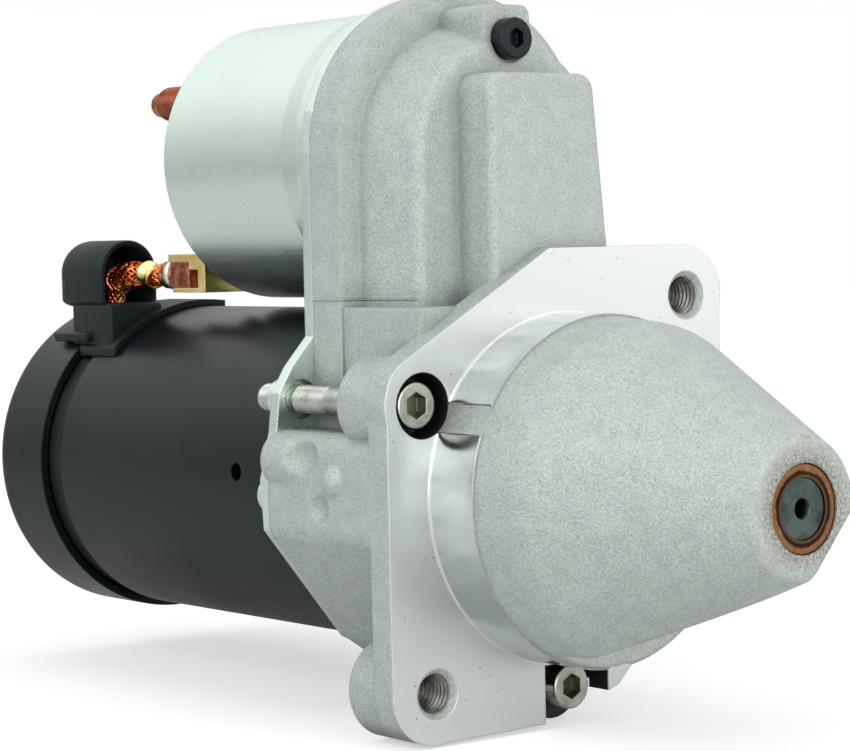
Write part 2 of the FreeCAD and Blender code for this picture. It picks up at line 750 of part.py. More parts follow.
def output_shaft():
    """Shaft with its planet carrier, splined seat and centre hole."""
    front = carrier_back + size.carrier_thick
    shaft = rod(front - 1, size.shaft_end, size.shaft_radius)
    seat = rod(front - 1, pinion_back - size.gap, size.spline_radius)
    disc = rod(carrier_back, front, size.carrier_radius)
    centre = cone(size.shaft_end - 3.4, size.shaft_end + 0.1, 0.6, 2.2)
    pilot = rod(carrier_back - 1, front + 5, size.motor_shaft - 1.4 + size.fit)
    drills = [centre, pilot]
    for i in range(PLANETS):
        y, z = on_circle(centre_distance, 90 + 360 / PLANETS * i)
        drills.append(rod(carrier_back - 1, front + 1, size.planet_pin, y, z))
    piece("output_shaft", cut(fuse(shaft, seat, disc), *drills))
    inner = size.spline_radius + size.fit
    piece("support_bush", tube(-size.web_front - size.web_thick, -size.web_front, size.spline_radius + 2.4, inner))
    collar = tube(stop_start, stop_start + 5, size.shaft_radius + 3.6, size.shaft_radius)
    piece("stop_collar", collar)
    ring = tube(stop_start + 5, stop_start + 6.6, size.shaft_radius + 1.7, size.shaft_radius)
    piece("stop_ring", ring)


def planet_phase(angle):
    """Turn of a planet that puts its gap over the sun's tooth in that direction."""
    step = 360 / SUN_TEETH
    offset = -(angle % step)
    shift = offset * SUN_TEETH / PLANET_TEETH
    return angle + 180 - shift + 180 / PLANET_TEETH


def ring_phase():
    """Turn of the ring gear that puts its tooth into the first planet's outer gap."""
    angle = 90
    step = 360 / PLANET_TEETH
    gap_angle = (planet_phase(angle) + step / 2 - angle) % step
    return angle + gap_angle * PLANET_TEETH / RING_TEETH


def planetary_set():
    slack = 0.12
    sun = gear("sun", SUN_TEETH, size.gear_module, planet_back - 1, planet_front - size.gap, slack)
    piece("sun_gear", cut(sun, rod(planet_back - 2, planet_front, size.motor_shaft - 0.9)))
    pins = []
    for i in range(PLANETS):
        angle = 90 + 360 / PLANETS * i
        y, z = on_circle(centre_distance, angle)
        phase = planet_phase(angle)
        wheel = gear("wheel", PLANET_TEETH, size.gear_module, planet_back, planet_front, slack, phase, y, z)
        bore = rod(planet_back - 1, planet_front + 1, size.planet_pin + size.fit, y, z)
        piece("planet_gear_%d" % (i + 1), cut(wheel, bore))
        pins.append(rod(planet_back, carrier_back + size.carrier_thick, size.planet_pin, y, z))
    piece("planet_pins", group(*pins))
    back = -size.plate_front
    teeth = gear("teeth", RING_TEETH, size.gear_module, back - 1, planet_front + size.gap, slack,
                 ring_phase() + 180 / RING_TEETH, 0, 0, True)
    room = rod(planet_front, -size.web_front - size.web_thick, size.carrier_radius + size.gap * 2)
    hub = rod(back, -size.web_front + 1, size.spline_radius + 2.4)
    blank = rod(back, -size.web_front, size.ring_bore)
    piece("ring_gear", cut(blank, teeth, room, hub))


def clutch():
    """Pinion with inner race, barrel with rollers and guide sleeve."""
    teeth = gear("pinion_teeth", PINION_TEETH, size.pinion_module, size.pinion_teeth_start, pinion_end, 0.2,
                 0, 0, 0, False, (1.0, 1.1))
    neck = rod(pinion_back, size.pinion_teeth_start + 0.5, size.race_radius)
    bore = size.shaft_radius + size.fit * 2
    leading = cone(pinion_end - 2, pinion_end + 3, size.pinion_module * 6.1, size.pinion_module * 4.1)
    trimmed = common(teeth, fuse(leading, rod(0, pinion_end - 2, size.pinion_module * 6.1)))
    piece("pinion", cut(fuse(trimmed, neck), rod(-size.barrel_back, pinion_end + 1, bore)))
    roller_circle = size.race_radius + size.roller_radius + size.fit * 3
    barrel = rod(-size.barrel_back, barrel_front, size.barrel_radius)
    rim = rounded(barrel, 1.2, at_station(barrel_front))
    room = rod(-size.barrel_back + 4, barrel_front - 3, roller_circle + size.roller_radius + size.fit * 3)
    mouth = rod(-size.barrel_back + 4, barrel_front + 1, size.race_radius + size.gap)
    hole = rod(-size.barrel_back - 1, 0, size.spline_radius + size.fit * 2)
    piece("clutch_barrel", cut(rim, room, mouth, hole))
    rollers = []
    for i in range(5):
        y, z = on_circle(roller_circle, 72 * i)
        start = -size.barrel_back + 4 + size.gap
        rollers.append(rod(start, barrel_front - 3 - size.gap, size.roller_radius, y, z))
    piece("clutch_rollers", group(*rollers))
    back = -size.groove_back - 2.4
    sleeve = rod(back, -size.barrel_back, size.sleeve_radius)
    groove = tube(-size.groove_back, size.groove_width - size.groove_back, size.sleeve_radius + 1,
                  size.groove_bottom)
    inner = rod(back - 1, 0, size.spline_radius + size.fit * 2)
    piece("guide_sleeve", cut(sleeve, groove, inner))


def fork():
    """Stamped fork in the Y-Z plane, leaned back about its pivot pin."""
    low = -size.pivot_height
    arm = size.sleeve_radius + size.gap * 2
    out = arm + 3
    outline = [
        (3.6, size.fork_eye + 3), (3.6, 8), (8, 4), (8, -10), (12.2, -18), (out, -26), (out, low - 2.8),
        (arm, low - 2.8), (arm, -28), (6, -16), (-6, -16), (-arm, -28), (-arm, low - 2.8),
        (-out, low - 2.8), (-out, -26), (-12.2, -18), (-8, -10), (-8, 4), (-3.6, 8),
        (-3.6, size.fork_eye + 3),
    ]
    half = size.fork_thick / 2
    blade = pad(outline, -half, half, [], "Blade")
    shoes = []
    for side in (-1, 1):
        reach = arm + 1 - size.groove_bottom - size.gap
        middle = (arm + 1 - reach / 2) * side
        shoes.append(pin_across(reach / 2, size.shoe_radius, 0, low + 0.3, middle))
    bore = pin_across(size.tower_left, size.pivot_radius + size.fit, 0, 0)
    hub = pin_across(8, size.pivot_radius + 2.2, 0, 0)
    lever = cut(fuse(blade, hub, *shoes), bore)
    lever.Placement = Placement(Vector(), Rotation(Vector(0, 1, 0), number(size.fork_lean)))
    bind(lever, "Placement.Rotation.Angle", size.fork_lean)
    bind(lever, "Placement.Base.x", -size.pivot_back)
    bind(lever, "Placement.Base.z", size.pivot_height)
    piece("fork_lever", lever)
    half_pin = size.tower_left - 1.5 - size.gap
    piece("lever_pin", pin_across(half_pin, size.pivot_radius, -size.pivot_back, size.pivot_height))


def plate_outline():
    """Half circle over the solenoid and the two-eared lower plate, as straight runs."""
    points = []
    for i in range(13):
        angle = 180 - 15 * i
        points.append((size.bell_radius * cos(angle), sol_height + size.bell_radius * sin(angle)))
    right = [(35.5, 33.5), (41, 31.5), (44, 27), (46, 13), (48.6, 2.6), (47.9, -8.5), (27.5, -34), (13, -41)]
    left = [(-13, -41), (-27.5, -34), (-47.9, -8.5), (-48.6, 2.6), (-46.0, 13), (-45, 21.5), (-41.5, 27), (-35.5, 33.5)]
    return points + right + left


def intermediate_plate():
    front = -size.plate_front
    blank = pad(plate_outline(), plate_back, front, [], "Plate")
    collars = []
    holes = []
    for angle in (BOLT_ANGLES[0], BOLT_ANGLES[2]):
        y, z = on_circle(size.bolt_circle, angle)
        collars.append(rod(plate_back - size.collar_height, plate_back + 1, size.bolt_radius + 1.4, y, z))
        holes.append(rod(plate_back - size.collar_height - 1, front + 1, size.bolt_radius, y, z))
        holes.append(rod(front - 1.6, front + 1, size.bolt_radius + 1.3, y, z))
    holes.append(rod(plate_back - 1, front + 1, size.motor_shaft + 3.4))
    holes.append(rod(plate_back - 1, front + 1, size.plunger_radius + size.gap, 0, sol_height))
    for angle, _ in SCREW_PLACES:
        y, z = solenoid_screw_place(angle)
        holes.append(rod(plate_back - 1, front + 1, size.screw_radius + size.gap, y, z))
    for angle in TIE_ANGLES:
        y, z = on_circle(size.tie_circle, angle)
        holes.append(rod(plate_back - 1, front + 1, size.tie_radius + size.gap, y, z))
    for side in (-1, 1):
        holes.append(rod(plate_back - 1, front + 1, size.plate_screw_radius + size.gap,
                         side * size.plate_screw_y, -size.plate_screw_z))
    piece("intermediate_plate", cut(fuse(blank, *collars), *holes))
    rim = tube(yoke_start, plate_back, size.yoke_radius + 0.3, magnet_radius + 0.4)
    piece("plate_gasket", rim)


def socket_screw(head_start, head_end, head, end, radius, flat, y, z, depth=3.0):
    """A socket-head screw along X: head towards the nose, shank towards the rear."""
    cap = rounded(rod(head_start, head_end, head, y, z), 0.5, at_station(head_end))
    shank = rod(end, head_start + 0.5, radius, y, z)
    socket = hexagon(head_end - depth, head_end + 1, flat, y, z)
    return cut(fuse(cap, shank), socket)


def fasteners():
    bolts = []
    for angle in BOLT_ANGLES:
        y, z = on_circle(size.bolt_circle, angle)
        start = -size.bolt_head_face - size.bolt_head_depth
        end = -size.bolt_end if angle is not BOLT_ANGLES[1] else -size.plate_front + 1
        bolts.append(socket_screw(start, -size.bolt_head_face, size.bolt_head, end, size.bolt_radius,
                                  size.hex_flat, y, z))
    piece("flange_bolts", group(*bolts))
    screws = []
    for angle, seat in SCREW_PLACES:
        y, z = solenoid_screw_place(angle)
        screws.append(socket_screw(-seat, -seat + size.screw_head_depth, size.screw_head,
                                   plate_back - 3, size.screw_radius, size.screw_radius * 0.8, y, z, 2.2))
    piece("solenoid_screws", group(*screws))
    heads = []
    for side in (-1, 1):
        y, z = side * size.plate_screw_y, -size.plate_screw_z
        pan = rod(plate_back - 3, plate_back, size.plate_screw_head, y, z)
        head = rounded(pan, 1.5, at_station(plate_back - 3))
        heads.append(fuse(head, rod(plate_back - 0.5, -size.plate_front + 8, size.plate_screw_radius, y, z)))
    piece("plate_screws", group(*heads))
    ties = []
    for angle in TIE_ANGLES:
        y, z = on_circle(size.tie_circle, angle)
        shank = rod(motor_back - 1, -size.plate_front + 12, size.tie_radius, y, z)
        ties.append(fuse(shank, hexagon(motor_back - 2.4, motor_back, 3.6, y, z)))
    piece("tie_bolts", group(*ties))


def solenoid():
    axis = (0, sol_height)
    front = plate_back
    back = -size.can_back
    inner = size.can_radius - size.can_wall
    foot = size.can_radius + 1.2
    can = DOC.addObject("PartDesign::Body", "Can")
    outline = sketch(can, "XZ_Plane", [
        (back, size.can_radius - 1), (back, inner - 1.2), (back + 2, inner - 1.2), (back + 2, inner),
        (front - 4, inner), (front - 4, size.plunger_radius + size.gap), (front, size.plunger_radius + size.gap),
        (front, foot), (front - 4, foot), (front - size.can_foot, size.can_radius), (back + 1, size.can_radius),
    ])
    shell = can.newObject("PartDesign::Revolution", "Revolution")
    shell.Profile = outline
    shell.ReferenceAxis = (outline, ["H_Axis"])
    shell.Angle = 360
    bind(can, "Placement.Base.z", sol_height)
    drills = []
    for angle, _ in SCREW_PLACES:
        y, z = solenoid_screw_place(angle)
        drills.append(rod(front - 5, front + 1, size.screw_radius, y, z))
    piece("solenoid_can", cut(can, *drills))
    coil_back = fixed_core_front + 3
    guide = size.plunger_radius + size.gap
    piece("solenoid_coil", tube(coil_back, front - 4 - size.gap, inner - size.gap, guide + 0.9, *axis))
    core = fuse(rod(fixed_core_back, fixed_core_front, inner, *axis),
                rod(fixed_core_front - 1, fixed_core_front + 3, guide, *axis))
    core_hole = rod(fixed_core_back - 1, fixed_core_front + 4, 2.6, *axis)
    piece("solenoid_core", cut(core, core_hole))
    plunger()
    contacts(axis, back, inner)


def plunger():
    """Plunger with its rod and the slotted hook that takes the fork."""
    axis = (0, sol_height)
    body = rod(-size.plunger_back, -size.plunger_front, size.plunger_radius, *axis)
    smooth = rounded(body, 1, at_station(-size.plunger_front))
    stem = rod(-size.plunger_front - 1, -size.hook_front, size.hook_radius, *axis)
    slot_width = size.fork_thick + size.slot_play
    slot = box(-hook_slot - slot_width, -hook_slot, -3.9, 3.9, sol_height - 8, sol_height + 8)
    piece("plunger", cut(fuse(smooth, stem), slot))
    coil = tube(-size.plunger_front + size.gap, -size.bell_face - 6, size.hook_radius + 4, size.hook_radius + 1.5, *axis)
    piece("return_spring", coil)


def contact_head(start, end, y, z):
    """Flat bar from a stud towards the solenoid axis, which the contact bridge meets."""
    angle = math.degrees(math.atan2(number(z - sol_height), number(y)))
    bar = DOC.addObject("Part::Box", "Bar")
    bind(bar, "Length", end - start)
    bind(bar, "Width", size.stud_radius * 4.3)
    bind(bar, "Height", size.stud_radius * 2)
    turn = Rotation(Vector(1, 0, 0), angle + 180)
    corner = turn.multVec(Vector(0, 0, -number(size.stud_radius)))
    return place(bar, start, y + corner.y, z + corner.z, turn)


def contacts(axis, back, inner):
    """Contact rod and bridge, cap, stud and motor terminal."""
    bridge = -size.bridge_back
    rod_front = -size.plunger_back - size.plunger_stroke + size.contact_travel - size.gap
    piece("contact_rod", rod(bridge - 2, rod_front, 2.3, *axis))
    piece("contact_bridge", tube(bridge, bridge + 2, 13, 2.3, *axis))
    spring = tube(bridge + 2, fixed_core_back - size.gap, 5, 3.2, *axis)
    piece("contact_spring", spring)
    head_front = bridge - size.contact_travel - size.gap
    floor = back + 2
    lip = inner - 1.2 - size.gap
    skirt = tube(floor + size.gap, fixed_core_back - size.gap, inner - size.gap, inner - 2.2, *axis)
    cup = fuse(rod(back - size.cap_thick, floor, size.cap_radius, *axis), rod(back - 12, back, 15, *axis),
               rod(back, floor, lip, *axis), tube(floor - 1, floor + 1, lip, inner - 2.2, *axis), skirt)
    holes = []
    stud = (size.stud_y, size.stud_z)
    post = (size.terminal_y, size.terminal_z)
    for y, z in (stud, post):
        holes.append(rod(back - 20, head_front + size.gap, size.stud_seat, y, z))
    piece("solenoid_cap", cut(cup, *holes))
    cap_face = back - size.cap_thick
    thread = rod(-size.stud_end, head_front, size.stud_radius, *stud)
    tip = -size.stud_end - size.pilot_length
    pilot = rounded(rod(tip, -size.stud_end + 1, size.pilot_radius, *stud), 0.8, at_station(tip))
    seat = rod(cap_face, head_front, size.stud_seat, *stud)
    piece("battery_stud", fuse(thread, pilot, seat, contact_head(floor, head_front, *stud)))
    bolt = rod(cap_face - size.clip_strip - 1.4, head_front, size.stud_radius, *post)
    seat = rod(cap_face, head_front, size.stud_seat, *post)
    piece("motor_terminal", fuse(bolt, seat, contact_head(floor, head_front, *post)))
    y, z = size.trigger_y, sol_height + size.trigger_rise
    piece("trigger_tab", box(back - size.cap_thick - 14, back - 12, y, y + 6.3, z, z + 0.8))


def motor():
    back = yoke_end
    case = tube(back, yoke_start, size.yoke_radius, magnet_radius)
    drill = pin_across(size.yoke_wall * 2, size.yoke_hole, -size.yoke_hole_back, size.yoke_hole_height,
                       -size.yoke_radius)
    piece("yoke", cut(case, drill))
    magnets = []
    inner = magnet_radius - size.magnet_thick
    for i in range(4):
        sector = DOC.addObject("Part::Cylinder", "Sector")
        bind(sector, "Radius", magnet_radius)
        bind(sector, "Height", size.core_length)
        bind(sector, "Angle", size.magnet_arc)
        turn = Rotation(Vector(1, 0, 0), 90 * i - number(size.magnet_arc) / 2).multiply(ALONG_X)
        place(sector, core_back, 0, 0, turn)
        magnets.append(cut(sector, rod(core_back - 1, -size.core_front + 1, inner)))
    piece("magnets", group(*magnets))
    front_end = carrier_back + size.carrier_thick + 3
    shaft = fuse(rod(motor_back + 4, planet_back - 1, size.motor_shaft),
                 rod(planet_back - 2, planet_front - size.gap, size.motor_shaft - 0.9),
                 rod(planet_front - 1, front_end, size.motor_shaft - 1.4))
    piece("armature_shaft", shaft)
    shaft_hole = rod(motor_back, 0, size.motor_shaft)
    stack = rod(core_back, -size.core_front, size.core_radius)
    piece("armature_core", cut(stack, shaft_hole))
    ends = [tube(-size.core_front, -size.core_front + 10, size.core_radius - 2, size.motor_shaft + 4),
            tube(core_back - 7, core_back, size.core_radius - 2, size.motor_shaft + 4)]
    piece("armature_windings", group(*ends))
    piece("commutator", tube(commutator_back, commutator_front, size.commutator_radius, size.motor_shaft))
    rear_end()
    brushes()


def rear_end():
    """Ring groove, stamped rear cover and its bush."""
    start = cover_front
    back = motor_back
    wall = size.cover_wall
    seat = size.motor_shaft + 3
    cover = turned([
        (start, size.cover_radius), (start, size.cover_radius - wall), (back + wall, size.cover_radius - wall),
        (back + wall, seat + wall), (back + 12, seat + wall), (back + 12, seat), (back + wall, seat),
        (back + wall, 0), (back, 0), (back, size.cover_radius),
    ], "Cover")
    smooth = rounded(cover, size.cover_round, at_back_rim(back))
    holes = []
    for angle in TIE_ANGLES:
        y, z = on_circle(size.tie_circle, angle)
        holes.append(rod(back - 1, back + wall + 1, size.tie_radius + size.gap, y, z))
    piece("rear_cover", cut(smooth, *holes))
    piece("rear_bush", tube(back + wall + 1, back + 12, seat, size.motor_shaft + size.fit))


def at_back_rim(back):
    def wanted(edge):
        return at_station(back)(edge) and edge.BoundBox.YLength > number(size.cover_radius)
    return wanted


def brushes():
    """Holder disc with four brushes and their springs."""
    plate = commutator_back - 2.5
    ring = tube(plate - 2, plate, magnet_radius - size.gap, size.commutator_radius + 2)
    notches = []
    for angle in TIE_ANGLES:
        y, z = on_circle(size.tie_circle, angle)
        notches.append(rod(plate - 3, plate + 1, size.tie_radius + size.gap, y, z))
    blocks = []
    springs = []
    middle = commutator_front - size.commutator_length / 2
    half = size.brush_length / 2
    for i in range(4):
        turn = Rotation(Vector(1, 0, 0), 90 * i)
        block = DOC.addObject("Part::Box", "Brush")
        bind(block, "Length", size.brush_length)
        bind(block, "Width", size.brush_length * 0.9)
        bind(block, "Height", size.brush_width)
        corner = turn.multVec(Vector(0, number(size.commutator_radius + size.fit), -number(size.brush_width) / 2))
        place(block, middle - half, corner.y, corner.z, turn)
        blocks.append(block)
        spring = DOC.addObject("Part::Cylinder", "Spring")
        bind(spring, "Radius", size.brush_width / 2 - size.gap)
        start = size.commutator_radius + size.fit + size.brush_length * 0.9
        bind(spring, "Height", magnet_radius - size.gap - start)
        turn = Rotation(Vector(1, 0, 0), 90 * i - 90)
        corner = turn.multVec(Vector(0, 0, number(start)))
        place(spring, middle, corner.y, corner.z, turn)
        springs.append(spring)
    piece("brush_holder", cut(ring, *notches))
    piece("brushes", group(*blocks))
    piece("brush_springs", group(*springs))


def hood():
    """Rubber hood over the lead, its skirt, and the thin saddle in front of it."""
    end = yoke_end + size.hood_reach
    start = end - size.hood_length
    y, z = size.hood_y, size.hood_z
    outer = size.hood_radius
    arch_top = rod(start, end, outer, y, z)
    skirt = box(start, end, y - outer, y + outer, z - size.hood_skirt, z)
    neck = box(start + 5, end + 3, y - outer + 1.5, y + outer - 2, z - 18, z - size.hood_skirt + 1)
    foot = box(start, end, y - outer - 1, y + outer, z - 15, z - 12)
    bore = rod(start + size.hood_wall, end + 1, outer - size.hood_wall, y, z)
    skin = size.yoke_radius + size.gap
    motor_side = fuse(rod(start - 5, cover_front + size.gap, size.cover_radius + size.gap),
                      rod(cover_front, end + 10, skin))
    strip = box(end - 1, end + size.saddle_reach, y - size.saddle_half, y + size.saddle_half, 0, z)
    saddle = common(strip, tube(end - 1, end + size.saddle_reach, skin + size.saddle_thick, skin))
    return fuse(cut(fuse(arch_top, skirt, neck, foot), bore, motor_side), saddle)


def lead():
    """Lead from the motor through the hood to the solenoid, crimp band, end block and brass clip."""
    cap_face = -size.can_back - size.cap_thick
    tip = cap_face - size.clip_reach
    y, z = size.lead_y, size.lead_z
    half = size.lead_radius
    yaw = Rotation(Vector(0, 0, 1), number(size.lead_yaw))
    ahead = yaw.multiply(ALONG_X)
    run = size.lead_straight
    top = (tip - run * cos(size.lead_yaw), y - run * sin(size.lead_yaw))
    run = size.lead_straight + size.lead_bend
    low = (tip - run * cos(size.lead_yaw), y - run * sin(size.lead_yaw))
    straight = DOC.addObject("Part::Cylinder", "Straight")
    bind(straight, "Radius", half)
    bind(straight, "Height", size.lead_straight)
    place(straight, top[0], top[1], z, ahead)
    bend = DOC.addObject("Part::Torus", "Bend")
    bind(bend, "Radius1", size.lead_bend)
    bind(bend, "Radius2", half)
    bend.Angle3 = 90
    upright = Rotation(Vector(0, 0, 1), Vector(-1, 0, 0), Vector(0, -1, 0), "XYZ")
    place(bend, top[0], top[1], z - size.lead_bend, yaw.multiply(upright))
    riser = DOC.addObject("Part::Cylinder", "Riser")
    bind(riser, "Radius", half)
    bind(riser, "Height", size.lead_drop)
    place(riser, low[0], low[1], z - size.lead_bend - size.lead_drop)
    piece("motor_lead", fuse(straight, bend, riser))
    side = half + size.gap
    slot = box(low[0] - side, yoke_end + size.hood_reach + 1, low[1] - side, top[1] + side + 0.5, 0, z)
    piece("lead_hood", cut(hood(), slot))
    hole = rod_up(low[0], low[1], half)
    piece("rear_seal_ring", cut(tube(cover_front, yoke_end, size.seal_radius, magnet_radius), hole))
    sleeve = DOC.addObject("Part::Cylinder", "Sleeve")
    bind(sleeve, "Radius", half + 0.8)
    bind(sleeve, "Height", size.band_length)
    run = size.band_place + size.band_length
    place(sleeve, tip - run * cos(size.lead_yaw), y - run * sin(size.lead_yaw), z, ahead)
    core = DOC.addObject("Part::Cylinder", "Core")
    bind(core, "Radius", half)
    bind(core, "Height", size.lead_straight)
    place(core, top[0], top[1], z, ahead)
    piece("lead_band", cut(sleeve, core))
    front = tip + size.block_length
    piece("lead_end_block", cut(box(tip, front, y - half, y + half, z - half, z + half), core))
    strip = size.clip_strip
    roof = z + half
    floor = z - half
    clip = fuse(
        box(tip - 0.8, cap_face, y - half, y + half, roof, roof + strip),
        box(front, cap_face, y - half, y + half, floor - strip * 0.6, roof + strip),
        box(tip + 1, cap_face, y - half, y + half, floor - strip * 0.6, floor),
        box(cap_face - strip, cap_face, y - half, size.terminal_y + 5, floor - strip * 0.6,
            size.terminal_z + 5))
    relief = box(front, cap_face - strip * 1.6, y - half - 1, y + half + 1, floor, roof - strip)
    hole = rod(cap_face - 5, cap_face + 1, size.stud_radius, size.terminal_y, size.terminal_z)
    piece("lead_clip", cut(clip, relief, hole))


def rod_up(x, y, radius):
    """An upright cylinder from the shaft axis to above the motor."""
    solid = DOC.addObject("Part::Cylinder", "Upright")
    bind(solid, "Radius", radius)
    bind(solid, "Height", size.cover_radius * 2)
    return place(solid, x, y, 0)


def check_document():
    """Stops if any object failed or any piece is empty or invalid."""
    failed = [o.Label for o in DOC.Objects if "Invalid" in o.State or "Error" in o.State]
    for solid in PIECES:
        if solid.Shape.isNull() or not solid.Shape.isValid() or solid.Shape.Volume <= 0:
            failed.append(solid.Label)
    if failed:
        raise RuntimeError("failed: " + ", ".join(failed))


def export():
    os.makedirs("parts", exist_ok=True)
    for solid in PIECES:
        solid.Shape.exportStep("parts/%s.step" % solid.Label)
        print("%-22s solids %2d  volume %9.0f" % (solid.Label, len(solid.Shape.Solids), solid.Shape.Volume))


drive_end_housing()
output_shaft()
planetary_set()
clutch()
fork()
intermediate_plate()
fasteners()
solenoid()
motor()
lead()
DOC.recompute()
check_document()
export()
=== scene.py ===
"""Looks of the starter motor: finishes, threads, braided lead, rubber hood, floor, light and camera.

The CAD frame is in metres: +X along the output shaft towards the nose, +Z up, origin on the
shaft axis at the front face of the mounting flange.
"""
import json
import math

import bpy
from mathutils import Matrix, Vector


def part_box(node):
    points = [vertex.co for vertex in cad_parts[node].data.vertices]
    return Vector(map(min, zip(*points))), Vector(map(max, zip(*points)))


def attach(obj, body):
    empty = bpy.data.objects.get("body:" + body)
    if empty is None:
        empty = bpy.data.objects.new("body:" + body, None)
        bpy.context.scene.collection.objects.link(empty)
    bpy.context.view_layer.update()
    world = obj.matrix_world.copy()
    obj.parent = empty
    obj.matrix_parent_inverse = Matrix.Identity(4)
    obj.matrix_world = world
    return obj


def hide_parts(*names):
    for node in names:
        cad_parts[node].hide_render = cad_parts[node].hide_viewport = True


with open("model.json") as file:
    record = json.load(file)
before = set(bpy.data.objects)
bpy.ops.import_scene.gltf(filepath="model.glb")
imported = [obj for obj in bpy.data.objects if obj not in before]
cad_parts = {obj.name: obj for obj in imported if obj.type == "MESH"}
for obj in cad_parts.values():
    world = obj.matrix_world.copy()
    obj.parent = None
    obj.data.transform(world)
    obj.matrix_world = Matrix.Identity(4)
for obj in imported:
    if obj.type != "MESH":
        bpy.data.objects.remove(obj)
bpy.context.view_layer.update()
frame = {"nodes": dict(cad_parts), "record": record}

MM = 0.001
NODES = frame["nodes"]

# Driving dimensions of the housing, in metres
REGISTER_RADIUS = 38.0 * MM
REGISTER_END = 14.0 * MM
BOLT_CIRCLE = 43.9 * MM
BOLT_ANGLES = (153.0, 273.0, 33.0)
COUNTERBORE = 7.0 * MM
RECESS_DEPTH = (-8.8 * MM, -0.4 * MM)
SOCKET_RADIUS = 2.95 * MM
SOCKET_DEPTH = (-5.4 * MM, -2.35 * MM)
NOSE_TIP = 70.7 * MM
MOUNT_PLACE = (36.8 * MM, 40.6 * MM)
PARTING_HEIGHT = 41.6 * MM
NOTCH_TOP = -37.8 * MM
NOTCH_SIDES = (-7.3 * MM, 11.5 * MM)

# Motor body, lead and hood
YOKE_SKIN = 38.6 * MM
COVER_SKIN = 40.1 * MM
LEAD_TIP = Vector((-126.7, -14.8, 46.8)) * MM
LEAD_YAW = math.radians(9.0)
LEAD_AHEAD = Vector((math.cos(LEAD_YAW), math.sin(LEAD_YAW), 0.0))
LEAD_SIDE = Vector((math.sin(LEAD_YAW), -math.cos(LEAD_YAW), 0.0))
LEAD_STRAIGHT = 15.0 * MM
LEAD_BEND = 10.0 * MM
LEAD_DROP = 5.0 * MM
BRAID_CARRIERS = 26
BRAID_TURNS = 1.6
STRAND_RADIUS = 0.36 * MM
HOOD_PLACE = (-19.5 * MM, 47.4 * MM)
HOOD_REAR = -165.6 * MM
HOOD_MOUTH = -143.6 * MM
STUD_PLACE = (-17.8 * MM, 88.9 * MM)
THREAD_RISE = 0.24 * MM

# Camera at the photograph's viewing angle
AZIMUTH, ELEVATION, ROLL = 51.61, 2.72, -1.24
CAMERA_PLACE = Vector((439.2, -385.7, 55.2)) * MM
FOCAL_PIXELS = 2703.4
CENTRE_PIXEL = (427.1, 364.1)
IMAGE_SIZE = (850, 751)

# Light
AMBIENT = 0.36
LAMPS = (
    ("Side", (-0.15, -1.05, 0.60), (1.0, 0.8), 4.2, (0.97, 0.99, 1.0)),
    ("Front", (1.20, -0.25, 0.16), (0.9, 0.7), 8.0, (1.0, 0.99, 0.965)),
    ("Far", (0.75, 1.00, 0.25), (0.9, 0.7), 1.8, (1.0, 1.0, 1.0)),
    ("Top", (-0.10, 0.10, 1.15), (1.1, 0.9), 2.6, (1.0, 1.0, 1.0)),
)
LAMP_TARGET = Vector((-40 * MM, 0.0, 20 * MM))


def colour(red, green, blue):
    return (red, green, blue, 1.0)


CAST_LOW = colour(0.43, 0.485, 0.45)
CAST_HIGH = colour(0.62, 0.685, 0.64)
CAST_PIT = colour(0.24, 0.26, 0.24)
CAST_EDGE = colour(0.80, 0.84, 0.81)
# Painted shade for the casting's concave corners
PAINTED_CORNER_SHADE = colour(0.16, 0.18, 0.165)
OILY_DUST = colour(0.24, 0.19, 0.14)
MACHINED_LOW = colour(0.74, 0.78, 0.77)
MACHINED_HIGH = colour(0.80, 0.84, 0.83)
MACHINED_SPECK = colour(0.30, 0.31, 0.30)
# Painted reflection for the streaks on the register band
PAINTED_BAND_REFLECTION = colour(0.36, 0.385, 0.37)
# Painted highlight for the line round the register's root
PAINTED_ROOT_HIGHLIGHT = colour(0.90, 0.93, 0.92)
# Black seal coat and painted shade for the bolt recesses and the notch
RECESS_SEAL_AND_SHADE = colour(0.004, 0.004, 0.004)
ZINC_EDGE = colour(0.92, 0.95, 0.93)
OIL_LOW = colour(0.012, 0.008, 0.006)
OIL_HIGH = colour(0.06, 0.030, 0.016)
BRONZE_LOW = colour(0.13, 0.06, 0.03)
BRONZE_HIGH = colour(0.46, 0.22, 0.10)
BRONZE_RIM = colour(0.30, 0.17, 0.10)
# Painted shade inside the bolt sockets
SOCKET_PAINTED_SHADE = colour(0.15, 0.16, 0.09)
# Darker colour for the shaft's centre hole
CENTRE_DARK = colour(0.022, 0.012, 0.006)
FLOOR_PALE = colour(0.90, 0.90, 0.90)
WHITE = colour(1.0, 1.0, 1.0)


